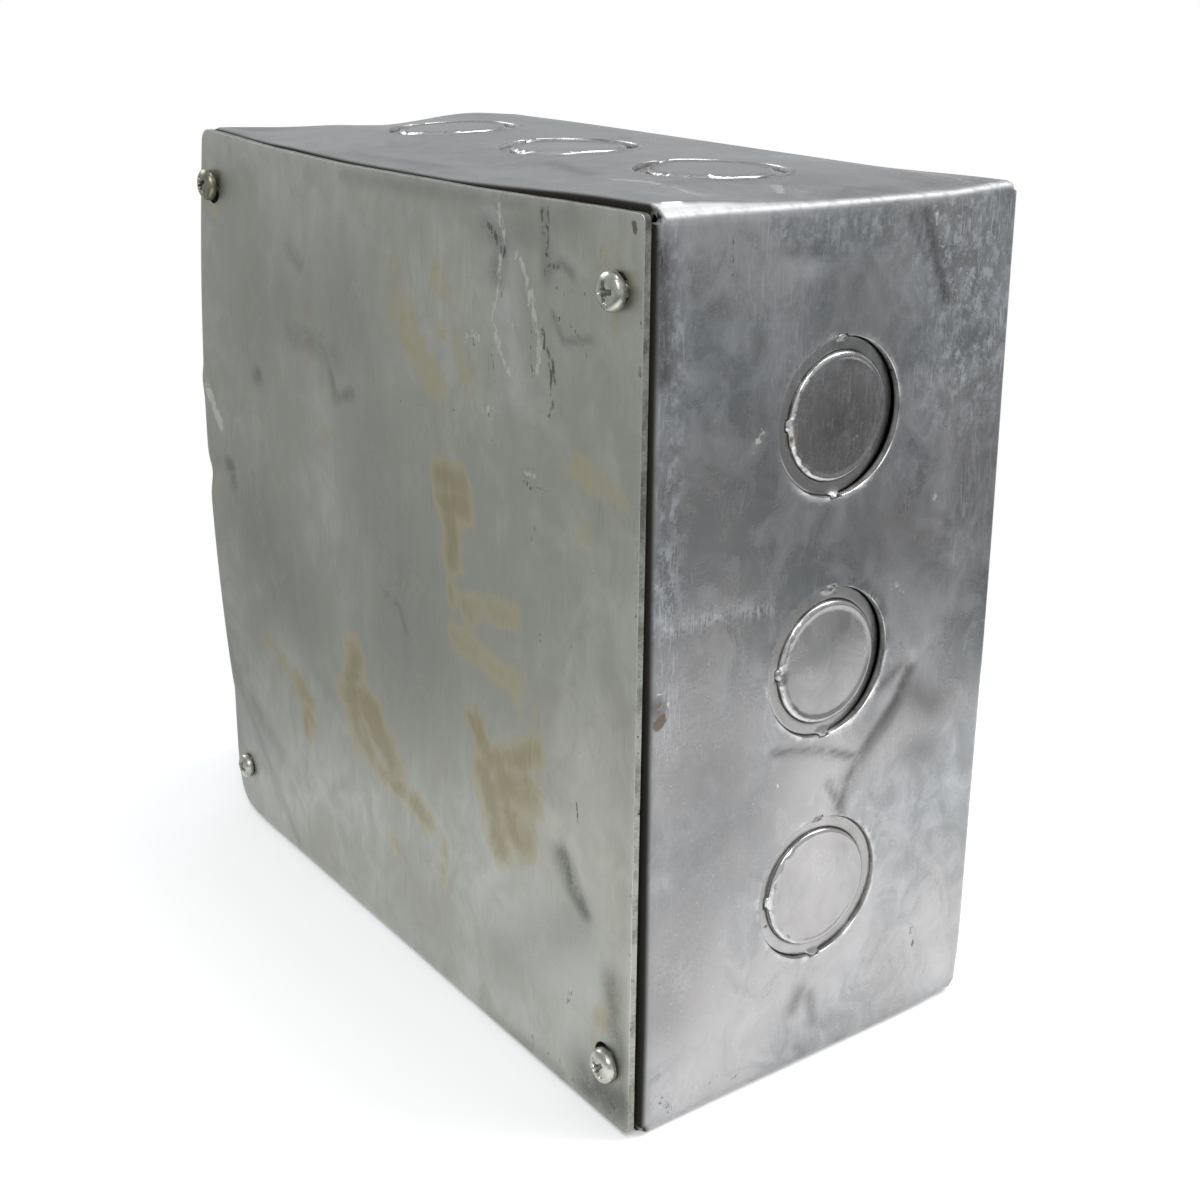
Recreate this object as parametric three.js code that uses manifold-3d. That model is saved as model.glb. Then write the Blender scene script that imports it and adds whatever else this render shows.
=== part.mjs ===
// A screw-cover pull box: a square junction box of galvanised sheet steel that stands on its bottom wall.
// Frame in millimetres: +Z up, +X to the right as one faces the cover, +Y towards the back. The origin is
// the centre of the bounding box's bottom face. The cover and its screws are on the -Y side.
import * as THREE from "three";
import { mergeVertices } from "three/addons/utils/BufferGeometryUtils.js";
import Module from "manifold-3d";

const wasm = await Module();
wasm.setup();

// Driving dimensions
const SIDE = 203.2; // outer width and height, 8 in
const DEPTH = 101.6; // back face to the front of the cover, 4 in
const SHEET = 1.6; // 16 gauge galvanised sheet
const BEND = 2.4; // outer radius of every bend
const GAP = 0.3; // between pieces that touch on the real box

const FRONT_FLANGE = 15.9; // return flange that the cover lies on
const REAR_FLANGE = 12.7; // return flange that the back plate is spot-welded to
const MITRE_SLIT = 0.8; // between flange ends at each corner
const SEAM_SLIT = 0.5; // raw edge of the strip where it meets itself at the lower left corner
const SEAM_LAP = 14; // height of the tab behind that seam

const COVER_SIDE = 201.8;
const COVER_CORNER = 2;
const COVER_HOLE = 3; // radii from here on
const SCREW_X = 93; // cover screws, from the middle of the cover
const SCREW_Z = 86.5;
const SHANK = 2.05; // no. 8 machine screw
const SHANK_LENGTH = 12.7;
const HEAD = 4.1;
const HEAD_HEIGHT = 3;
const TAPPED_HOLE = 2.35;
const COLLAR = 3.6; // metal drawn back around each tapped hole
const COLLAR_LENGTH = 2.4;

const RING_HOLE = 17.45; // the 1 in trade size knockout's hole
const SLUG_HOLE = 14.4; // the 3/4 in trade size knockout's hole
const RING_RECESS = 0.8; // how far the ring is pushed in below the wall
const SLUG_RECESS = 0.1;
const KNOCKOUT_PITCH = 55.9;
const TIE_WIDTH = 2.2; // the uncut bit that holds a ring or slug
const TIE_REACH = 0.6;

const PLATE_SIDE = 198;
const MOUNT_HOLE = 3.55;
const MOUNT_PITCH = 152.4; // 6 in between the holes in the back
const GROUND_X = 45;
const GROUND_Z = 60;
const BOSS_HEIGHT = 5;
const BOSS_TOP = 6.5;
const BOSS_BASE = 10.5;
const GROUND_SHANK = 2.35; // no. 10 machine screw
const GROUND_SHANK_LENGTH = 6;
const GROUND_HOLE = 2.65;
const WASHER = 5;
const WASHER_HEIGHT = 0.9;
const HEX = 4.5; // corner radius of the ground screw's six-sided head
const HEX_HEIGHT = 2.6;

// Places that follow from them
const HALF = SIDE / 2;
const PROUD = HEAD_HEIGHT + GAP / 2; // how far the screw heads stand in front of the cover
const BACK = (DEPTH + PROUD) / 2;
const COVER_FRONT = BACK - DEPTH;
const COVER_BACK = COVER_FRONT + SHEET;
const FRONT = COVER_BACK + GAP; // front face of the return flange
const MIDDLE = (FRONT + BACK) / 2;
const PLATE_FRONT = BACK - 2 * SHEET - GAP;
const ARC_STEPS = 3; // curve steps in half a quarter turn
const ROUND_STEPS = 32; // in a full turn

// A closed geometry as a solid that can be joined and cut.
function solidOf(geometry) {
  const plain = geometry.index ? geometry.toNonIndexed() : geometry.clone();
  plain.deleteAttribute("normal");
  plain.deleteAttribute("uv");
  const merged = mergeVertices(plain, 1e-4);
  const vertProperties = merged.attributes.position.array;
  const triVerts = new Uint32Array(merged.index.array);
  return new wasm.Manifold(new wasm.Mesh({ numProp: 3, vertProperties, triVerts }));
}

// A named mesh of a solid, with a material of its own.
function meshOf(name, solid, look) {
  const { vertProperties, triVerts } = solid.getMesh();
  const geometry = new THREE.BufferGeometry();
  geometry.setAttribute("position", new THREE.BufferAttribute(vertProperties, 3));
  geometry.setIndex(new THREE.BufferAttribute(triVerts, 1));
  geometry.computeVertexNormals();
  const mesh = new THREE.Mesh(geometry, new THREE.MeshStandardMaterial(look));
  mesh.name = name;
  return mesh;
}

// A block between two corners.
function block([x0, y0, z0], [x1, y1, z1]) {
  const box = new THREE.BoxGeometry(x1 - x0, y1 - y0, z1 - z0);
  return solidOf(box.translate((x0 + x1) / 2, (y0 + y1) / 2, (z0 + z1) / 2));
}

// A round bar along Y, from one y to another.
function barAlongY(radius, x, z, y0, y1) {
  const bar = new THREE.CylinderGeometry(radius, radius, y1 - y0, ROUND_STEPS);
  return solidOf(bar.translate(x, (y0 + y1) / 2, z));
}

// A turned shape around a line along Y. Its profile holds [radius, y] pairs and closes on itself or the line.
function turnedAlongY(profile, x, z, steps = ROUND_STEPS) {
  const points = profile.map(([radius, y]) => new THREE.Vector2(radius, y));
  return solidOf(new THREE.LatheGeometry(points, steps).translate(x, 0, z));
}

// A flat shape drawn in X and Z, as thick as y0 to y1.
function plateAlongY(shape, y0, y1) {
  const drawn = { depth: y1 - y0, bevelEnabled: false, curveSegments: ARC_STEPS };
  const flat = new THREE.ExtrudeGeometry(shape, drawn);
  return solidOf(flat.rotateX(Math.PI / 2).translate(0, y1, 0));
}

// A square with round corners around the origin.
function roundedSquare(path, side, radius) {
  const reach = side / 2 - radius;
  path.absarc(reach, reach, radius, 0, Math.PI / 2);
  path.absarc(-reach, reach, radius, Math.PI / 2, Math.PI);
  path.absarc(-reach, -reach, radius, Math.PI, 1.5 * Math.PI);
  path.absarc(reach, -reach, radius, 1.5 * Math.PI, 2 * Math.PI);
  path.closePath();
  return path;
}

const union = (solids) => solids.reduce((all, next) => all.add(next));

// The four walls, in turn around the box. Each has a frame of its own at the middle of its outer face:
// local z points out of the box and local y towards the back.
const WALLS = ["top", "right", "bottom", "left"];
const wallTurn = (n) => (n * Math.PI) / 2;

function wallFrame(n) {
  const out = new THREE.Vector3(0, 0, HALF).applyAxisAngle(new THREE.Vector3(0, 1, 0), wallTurn(n));
  const turn = new THREE.Matrix4().makeRotationY(wallTurn(n));
  return turn.setPosition(out.x, MIDDLE, out.z + HALF);
}

const onWall = (solid, n) => solid.transform(wallFrame(n).elements.slice());

// One wall with its two return flanges: a C section of bent sheet, drawn as depth against distance inwards.
function foldedWall() {
  const front = FRONT - MIDDLE;
  const back = BACK - MIDDLE;
  const inner = BEND - SHEET;
  const section = new THREE.Shape();
  section.moveTo(front, FRONT_FLANGE);
  section.lineTo(front, BEND);
  section.absarc(front + BEND, BEND, BEND, Math.PI, 1.5 * Math.PI);
  section.absarc(back - BEND, BEND, BEND, 1.5 * Math.PI, 2 * Math.PI);
  section.lineTo(back, REAR_FLANGE);
  section.lineTo(back - SHEET, REAR_FLANGE);
  section.absarc(back - BEND, BEND, inner, 0, -Math.PI / 2, true);
  section.absarc(front + BEND, BEND, inner, 1.5 * Math.PI, Math.PI, true);
  section.lineTo(front + SHEET, FRONT_FLANGE);
  section.closePath();
  const length = SIDE - 2 * BEND;
  const drawn = { depth: length, bevelEnabled: false, curveSegments: ARC_STEPS };
  const strip = new THREE.ExtrudeGeometry(section, drawn).translate(0, 0, -length / 2);
  // the drawing's (depth, inwards, along) becomes the wall's (along, depth, outwards)
  const axes = new THREE.Matrix4().set(0, 0, -1, 0, 1, 0, 0, 0, 0, -1, 0, 0, 0, 0, 0, 1);
  return solidOf(strip.applyMatrix4(axes));
}

// The hole in a wall for one knockout, with a notch at each end of its ring for the ties.
function knockoutHole(along) {
  const bar = new THREE.CylinderGeometry(RING_HOLE, RING_HOLE, 4 * SHEET, ROUND_STEPS);
  const hole = solidOf(bar.rotateX(Math.PI / 2).translate(along, 0, 0));
  const reach = RING_HOLE + TIE_REACH;
  const wide = TIE_WIDTH / 2 + GAP;
  return hole.add(block([along - reach, -wide, -2 * SHEET], [along + reach, wide, 2 * SHEET]));
}

// The strip that is bent around into the four walls, its flanges, its seam and everything cut in it.
function boxWrapper() {
  const ring = roundedSquare(new THREE.Shape(), SIDE, BEND);
  ring.holes.push(roundedSquare(new THREE.Path(), SIDE - 2 * SHEET, BEND - SHEET));
  const tube = plateAlongY(ring, FRONT + BEND, BACK - BEND).translate(0, 0, HALF);
  const walls = WALLS.map((_, n) => onWall(foldedWall(), n));
  const lapFar = [-HALF + 2 * SHEET, PLATE_FRONT - GAP, SEAM_LAP];
  const lap = block([-HALF + SHEET, FRONT + BEND, SHEET / 2], lapFar);
  const collars = screwPlaces().map(([x, z]) => {
    return barAlongY(COLLAR, x, z, FRONT + SHEET / 2, FRONT + SHEET + COLLAR_LENGTH);
  });
  const solid = union([tube, ...walls, lap, ...collars]);

  // only the flanges are slit, so the walls' corners stay whole between them
  const between = block([-SIDE, FRONT + BEND, -SIDE], [SIDE, BACK - BEND, 2 * SIDE]);
  const cuts = cornerPlaces().map(([x, z]) => {
    const slit = new THREE.BoxGeometry(4 * FRONT_FLANGE, 2 * DEPTH, MITRE_SLIT);
    const diagonal = Math.sign(x * (HALF - z)) * (Math.PI / 4);
    return solidOf(slit.rotateY(diagonal).translate(x, 0, z)).subtract(between);
  });
  cuts.push(block([-SIDE, -SIDE, BEND], [-HALF + SHEET, SIDE, BEND + SEAM_SLIT]));
  for (const [x, z] of screwPlaces()) {
    cuts.push(barAlongY(TAPPED_HOLE, x, z, FRONT - 1, FRONT + SHEET + 2 * COLLAR_LENGTH));
  }
  WALLS.forEach((_, n) => {
    for (const k of [-1, 0, 1]) cuts.push(onWall(knockoutHole(k * KNOCKOUT_PITCH), n));
  });
  return solid.subtract(union(cuts));
}

// The x and z of the box's four outer corners.
function cornerPlaces() {
  return [[HALF, SIDE], [HALF, 0], [-HALF, 0], [-HALF, SIDE]];
}

// The x and z of the four cover screws.
function screwPlaces() {
  return [[-1, 1], [1, 1], [-1, -1], [1, -1]].map(([x, z]) => [x * SCREW_X, HALF + z * SCREW_Z]);
}

// The flat plate that closes the back from inside, with its mounting holes and the boss for the ground screw.
function backPlate() {
  const reach = PLATE_SIDE / 2;
  const plateBack = PLATE_FRONT + SHEET;
  let solid = block([-reach, PLATE_FRONT, HALF - reach], [reach, plateBack, HALF + reach]);
  const top = PLATE_FRONT - BOSS_HEIGHT;
  solid = solid.subtract(barAlongY(BOSS_BASE - SHEET, GROUND_X, GROUND_Z, PLATE_FRONT - 1, plateBack + 1));
  const boss = [
    [GROUND_HOLE, top],
    [BOSS_TOP, top],
    [BOSS_BASE, PLATE_FRONT],
    [BOSS_BASE, plateBack],
    [BOSS_BASE - SHEET, plateBack],
    [BOSS_TOP - SHEET / 2, top + SHEET],
    [GROUND_HOLE, top + SHEET],
    [GROUND_HOLE, top],
  ];
  solid = solid.add(turnedAlongY(boss, GROUND_X, GROUND_Z));
  for (const x of [-1, 1]) {
    for (const z of [-1, 1]) {
      const at = [(x * MOUNT_PITCH) / 2, HALF + (z * MOUNT_PITCH) / 2];
      solid = solid.subtract(barAlongY(MOUNT_HOLE, ...at, PLATE_FRONT - 1, plateBack + 1));
    }
  }
  return solid;
}

// The flat cover with its four screw holes.
function cover() {
  const shape = roundedSquare(new THREE.Shape(), COVER_SIDE, COVER_CORNER);
  const plate = plateAlongY(shape, COVER_FRONT, COVER_BACK).translate(0, 0, HALF);
  const holes = screwPlaces().map(([x, z]) => {
    return barAlongY(COVER_HOLE, x, z, COVER_FRONT - 1, COVER_BACK + 1);
  });
  return plate.subtract(union(holes));
}

// A pan-head cover screw with a cross recess. Its head is towards -Y.
function coverScrew(x, z) {
  const seat = COVER_FRONT - GAP / 2;
  const crown = seat - HEAD_HEIGHT;
  const tip = seat + SHANK_LENGTH;
  const outline = [
    [0, tip],
    [SHANK * 0.7, tip],
    [SHANK, tip - SHANK * 0.4],
    [SHANK, seat],
    [HEAD, seat],
    [HEAD, seat - HEAD_HEIGHT * 0.45],
    [HEAD * 0.9, seat - HEAD_HEIGHT * 0.75],
    [HEAD * 0.62, seat - HEAD_HEIGHT * 0.95],
    [0, crown],
  ];
  const body = turnedAlongY(outline.reverse(), x, z);
  const across = cutter(x, z, crown, 2.3, 0.5, HEAD_HEIGHT * 0.65);
  const upright = cutter(x, z, crown, 0.5, 2.3, HEAD_HEIGHT * 0.65);
  return body.subtract(union([across, upright]));
}

// A block that cuts a slot into a screw head: half sizes in x and z, and a depth from the crown.
function cutter(x, z, crown, halfX, halfZ, deep) {
  return block([x - halfX, crown - 1, z - halfZ], [x + halfX, crown + deep, z + halfZ]);
}

// The six-sided washer-head screw for the ground wire, driven into the boss on the back plate.
function groundScrew() {
  const seat = PLATE_FRONT - BOSS_HEIGHT - GAP / 2;
  const inWasher = seat - WASHER_HEIGHT / 2;
  const headFront = seat - WASHER_HEIGHT - HEX_HEIGHT;
  const hex = [[0, headFront], [HEX, headFront], [HEX, inWasher], [0, inWasher]];
  const solid = union([
    barAlongY(GROUND_SHANK, GROUND_X, GROUND_Z, inWasher, seat + GROUND_SHANK_LENGTH),
    barAlongY(WASHER, GROUND_X, GROUND_Z, seat - WASHER_HEIGHT, seat),
    turnedAlongY(hex, GROUND_X, GROUND_Z, 6),
  ]);
  return solid.subtract(cutter(GROUND_X, GROUND_Z, headFront, HEX * 1.1, 0.6, HEX_HEIGHT * 0.45));
}

// A flat ring or disc in a wall's frame, with its outer face a little under the wall's.
function flatRound(outer, inner, recess) {
  const shape = new THREE.Shape().absarc(0, 0, outer, 0, 2 * Math.PI);
  if (inner) shape.holes.push(new THREE.Path().absarc(0, 0, inner, 0, 2 * Math.PI, true));
  const drawn = { depth: SHEET, bevelEnabled: false, curveSegments: ROUND_STEPS / 2 };
  return solidOf(new THREE.ExtrudeGeometry(shape, drawn).translate(0, 0, -SHEET - recess));
}

// The outer ring of a knockout: two ties, and a notch for the slug's tie.
function knockoutRing() {
  const low = -SHEET - RING_RECESS;
  const reach = RING_HOLE + TIE_REACH - GAP;
  const ties = [-1, 1].map((end) => {
    const [near, far] = [end * (RING_HOLE - 2 * GAP), end * reach].sort((a, b) => a - b);
    return block([near, -TIE_WIDTH / 2, low], [far, TIE_WIDTH / 2, -RING_RECESS]);
  });
  const notchWide = TIE_WIDTH / 2 + GAP;
  const notch = block([-notchWide, -SLUG_HOLE - TIE_REACH, low - 1], [notchWide, 0, 1]);
  return union([flatRound(RING_HOLE - GAP, SLUG_HOLE, RING_RECESS), ...ties]).subtract(notch);
}

// The slug in the middle of a knockout, with one tie towards the cover.
function knockoutSlug() {
  const far = -(SLUG_HOLE + TIE_REACH - GAP);
  const low = -SHEET - SLUG_RECESS;
  const tie = block([-TIE_WIDTH / 2, far, low], [TIE_WIDTH / 2, -SLUG_HOLE / 2, -SLUG_RECESS]);
  return flatRound(SLUG_HOLE - GAP, 0, SLUG_RECESS).add(tie);
}

const GALVANISED = { color: 0x8e9296, roughness: 0.42, metalness: 0.9 };
const COVER_STEEL = { color: 0x8a8c84, roughness: 0.5, metalness: 0.85 };
const ZINC = { color: 0xc3c4bf, roughness: 0.25, metalness: 1 };
const GREEN = { color: 0x2f6b3c, roughness: 0.45, metalness: 0.6 };

const box = new THREE.Group();
box.add(meshOf("box_wrapper", boxWrapper(), GALVANISED));
box.add(meshOf("back_plate", backPlate(), GALVANISED));
box.add(meshOf("ground_screw", groundScrew(), GREEN));

WALLS.forEach((wall, n) => {
  const face = new THREE.Group();
  face.applyMatrix4(wallFrame(n));
  for (const k of [1, 2, 3]) {
    const ring = meshOf(`${wall}_knockout_${k}_ring`, knockoutRing(), GALVANISED);
    const slug = meshOf(`${wall}_knockout_${k}_slug`, knockoutSlug(), GALVANISED);
    ring.position.x = (k - 2) * KNOCKOUT_PITCH;
    slug.position.x = ring.position.x;
    face.add(ring, slug);
  }
  box.add(face);
});

const lid = new THREE.Group();
lid.add(meshOf("cover", cover(), COVER_STEEL));
const CORNERS = ["top_left", "top_right", "bottom_left", "bottom_right"];
screwPlaces().forEach(([x, z], n) => {
  lid.add(meshOf(`cover_screw_${CORNERS[n]}`, coverScrew(x, z), ZINC));
});
box.add(lid);

export default box;
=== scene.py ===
"""Looks of a worn galvanised junction box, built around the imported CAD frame.

The shape code works in millimetres in the row frame, and every mesh is written in metres.
"""

import math
import random

import bmesh
import bpy
import numpy as np
from mathutils import Euler, Matrix, Vector
from mathutils.geometry import delaunay_2d_cdt


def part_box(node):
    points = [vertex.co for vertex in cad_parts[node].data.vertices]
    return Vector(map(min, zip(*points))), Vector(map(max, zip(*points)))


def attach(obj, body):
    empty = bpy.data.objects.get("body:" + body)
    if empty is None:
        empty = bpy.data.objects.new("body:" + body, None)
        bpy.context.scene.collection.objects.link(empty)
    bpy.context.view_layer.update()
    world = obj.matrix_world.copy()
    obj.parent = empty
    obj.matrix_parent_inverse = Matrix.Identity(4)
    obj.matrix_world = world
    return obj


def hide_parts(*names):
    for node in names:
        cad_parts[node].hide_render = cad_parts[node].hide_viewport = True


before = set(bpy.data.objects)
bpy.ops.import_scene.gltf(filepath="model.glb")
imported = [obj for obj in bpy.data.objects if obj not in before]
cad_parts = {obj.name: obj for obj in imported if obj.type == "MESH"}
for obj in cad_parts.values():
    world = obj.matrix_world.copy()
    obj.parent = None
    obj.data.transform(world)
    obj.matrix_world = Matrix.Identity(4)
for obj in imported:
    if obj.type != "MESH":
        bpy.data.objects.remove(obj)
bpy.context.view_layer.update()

MM = 0.001
BODY_LOW, BODY_HIGH = [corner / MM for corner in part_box("box_wrapper")]
COVER_LOW, COVER_HIGH = [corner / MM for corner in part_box("cover")]
PLATE_LOW, PLATE_HIGH = [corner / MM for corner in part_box("back_plate")]
GROUND_LOW, GROUND_HIGH = [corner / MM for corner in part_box("ground_screw")]

HALF = BODY_HIGH.x
SIDE = 2 * HALF
FRONT = BODY_LOW.y
BACK = BODY_HIGH.y
MIDDLE = (FRONT + BACK) / 2
SHEET = 1.6
BEND = 1.7
FRONT_FLANGE = 15.9
REAR_FLANGE = 12.7
MITRE = 0.57  # half a mitre slit, along the wall
SEAM = 0.5  # gap between the strip's two raw edges
SCREW_LENGTH = 12.7
SCREW_X = 93
SCREW_Z = 86.5
TAPPED_HOLE = 2.35
COVER_HOLE = 3.2
WORN_HOLE = 3.7  # the cover's lower right hole, and how far it is off its place
WORN_HOLE_SHIFT = (-1.4, 0.6)
MOUNT_HOLE = 3.55
MOUNT_HOLE_AT = 76.2
BOSS_HOLE = 2.65
RING_HOLE = 17.45
SLUG_HOLE = 14.4
RING_RECESS = 0.8
SLUG_RECESS = 0.1
PITCH = 55.9
TIE = 1.1  # half the width of a tie
TIE_REACH = 0.6
TIE_PLAY = 0.15  # room beside a tie
CLEAR = 0.12  # sheared gap around a knockout's pieces
WALLS = ["top", "right", "bottom", "left"]

RUN = SIDE - 2 * BEND  # flat length of one wall
TURN = BEND * math.pi / 2
TUBE = BACK - FRONT - 2 * BEND  # flat depth of one wall
STRIP = [3, 0, 1, 2]  # walls in the order in which the strip goes around, from its raw edge
STEP = RUN + TURN
FRONT_LEG = FRONT_FLANGE - BEND
REAR_LEG = REAR_FLANGE - BEND


# ---------------------------------------------------------------- camera, light and floor

def make_camera():
    """A viewpoint in front of the box, to its right and a little above."""
    camera = bpy.data.objects.new("camera", bpy.data.cameras.new("camera"))
    bpy.context.scene.collection.objects.link(camera)
    yaw, pitch, roll = math.radians(-51.68), math.radians(-17.5), math.radians(1.32)
    aim = Euler((math.pi / 2 + pitch, 0, -yaw)).to_matrix() @ Matrix.Rotation(roll, 3, "Z")
    camera.matrix_world = Matrix.Translation((0.3673, -0.2485, 0.2500)) @ aim.to_4x4()
    camera.data.sensor_width = 36
    camera.data.lens = 53.14
    camera.data.shift_x = -0.0711
    camera.data.shift_y = -0.0716
    camera.data.clip_start = 0.02
    bpy.context.scene.camera = camera


LIGHT_AIM = Vector((0, 0, 0.1))  # the middle of the box, in metres


def make_light(name, place, size, power, tint=(1, 1, 1)):
    """A rectangular soft box that faces the middle of the junction box."""
    data = bpy.data.lights.new(name, "AREA")
    data.shape = "RECTANGLE"
    data.size, data.size_y = size
    data.energy = power
    data.color = tint
    light = bpy.data.objects.new(name, data)
    bpy.context.scene.collection.objects.link(light)
    light.location = place
    light.rotation_euler = (Vector(place) - LIGHT_AIM).to_track_quat("Z", "Y").to_euler()


# How bright the room is at each height of the view, from straight down (-1) to straight up (1).
LEFT_OF_ROOM = [(-1, 0.34), (-0.45, 0.55), (-0.28, 0.64), (-0.05, 0.66), (0.03, 0.6), (0.3, 0.5), (1, 0.6)]
RIGHT_OF_ROOM = [(-1, 0.3), (-0.4, 0.34), (-0.26, 0.36), (-0.16, 0.58), (0.0, 0.75), (0.35, 0.62), (1, 0.6)]


def make_world():
    """White behind the object; the room that the metal reflects is a soft grey that darkens low down."""
    world = bpy.data.worlds.new("room")
    bpy.context.scene.world = world
    world.use_nodes = True
    tree = world.node_tree
    tree.nodes.clear()
    out = tree.nodes.new("ShaderNodeOutputWorld")
    room = tree.nodes.new("ShaderNodeBackground")
    backdrop = tree.nodes.new("ShaderNodeBackground")
    backdrop.inputs["Color"].default_value = (1, 1, 1, 1)
    mix = tree.nodes.new("ShaderNodeMixShader")
    path = tree.nodes.new("ShaderNodeLightPath")
    place = tree.nodes.new("ShaderNodeTexCoord")
    split = tree.nodes.new("ShaderNodeSeparateXYZ")
    tree.links.new(place.outputs["Generated"], split.inputs[0])
    lift = tree.nodes.new("ShaderNodeMapRange")
    lift.inputs["From Min"].default_value = -1
    tree.links.new(split.outputs["Z"], lift.inputs["Value"])
    across = tree.nodes.new("ShaderNodeMapRange")
    across.interpolation_type = "SMOOTHSTEP"
    across.inputs["From Min"].default_value = -0.35
    across.inputs["From Max"].default_value = 0.35
    tree.links.new(split.outputs["X"], across.inputs["Value"])
    sides = tree.nodes.new("ShaderNodeMix")
    sides.data_type = "RGBA"
    tree.links.new(across.outputs[0], sides.inputs[0])
    for socket, stops in ((6, LEFT_OF_ROOM), (7, RIGHT_OF_ROOM)):
        ramp = tree.nodes.new("ShaderNodeValToRGB")
        tree.links.new(lift.outputs[0], ramp.inputs[0])
        elements = ramp.color_ramp.elements
        while len(elements) < len(stops):
            elements.new(1.0)
        for element, (slope, grey) in zip(elements, stops):
            element.position = (slope + 1) / 2
            element.color = (grey * 0.97, grey, grey * 1.02, 1)
        tree.links.new(ramp.outputs["Color"], sides.inputs[socket])
    tree.links.new(sides.outputs[2], room.inputs["Color"])
    tree.links.new(path.outputs["Is Camera Ray"], mix.inputs["Fac"])
    tree.links.new(room.outputs[0], mix.inputs[1])
    tree.links.new(backdrop.outputs[0], mix.inputs[2])
    tree.links.new(mix.outputs[0], out.inputs["Surface"])


def make_floor():
    """A plain white table top that the box stands on."""
    mesh = bpy.data.meshes.new("floor")
    bm = bmesh.new()
    bmesh.ops.create_circle(bm, cap_ends=True, radius=0.25, segments=96)
    bm.to_mesh(mesh)
    bm.free()
    floor = bpy.data.objects.new("floor", mesh)
    bpy.context.scene.collection.objects.link(floor)
    floor.location = (0.105, 0.02, -0.0007)
    look = Look("table_white")
    look.feed(look.shader.inputs["Base Color"], (0.86, 0.86, 0.86, 1))
    look.feed(look.shader.inputs["Roughness"], 0.75)
    look.feed(look.shader.inputs["Specular IOR Level"], 0.1)
    look.feed(look.shader.inputs["Emission Color"], (1, 1, 1, 1))
    look.feed(look.shader.inputs["Emission Strength"], 0.2)
    mesh.materials.append(look.material)


# ---------------------------------------------------------------- materials

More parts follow.
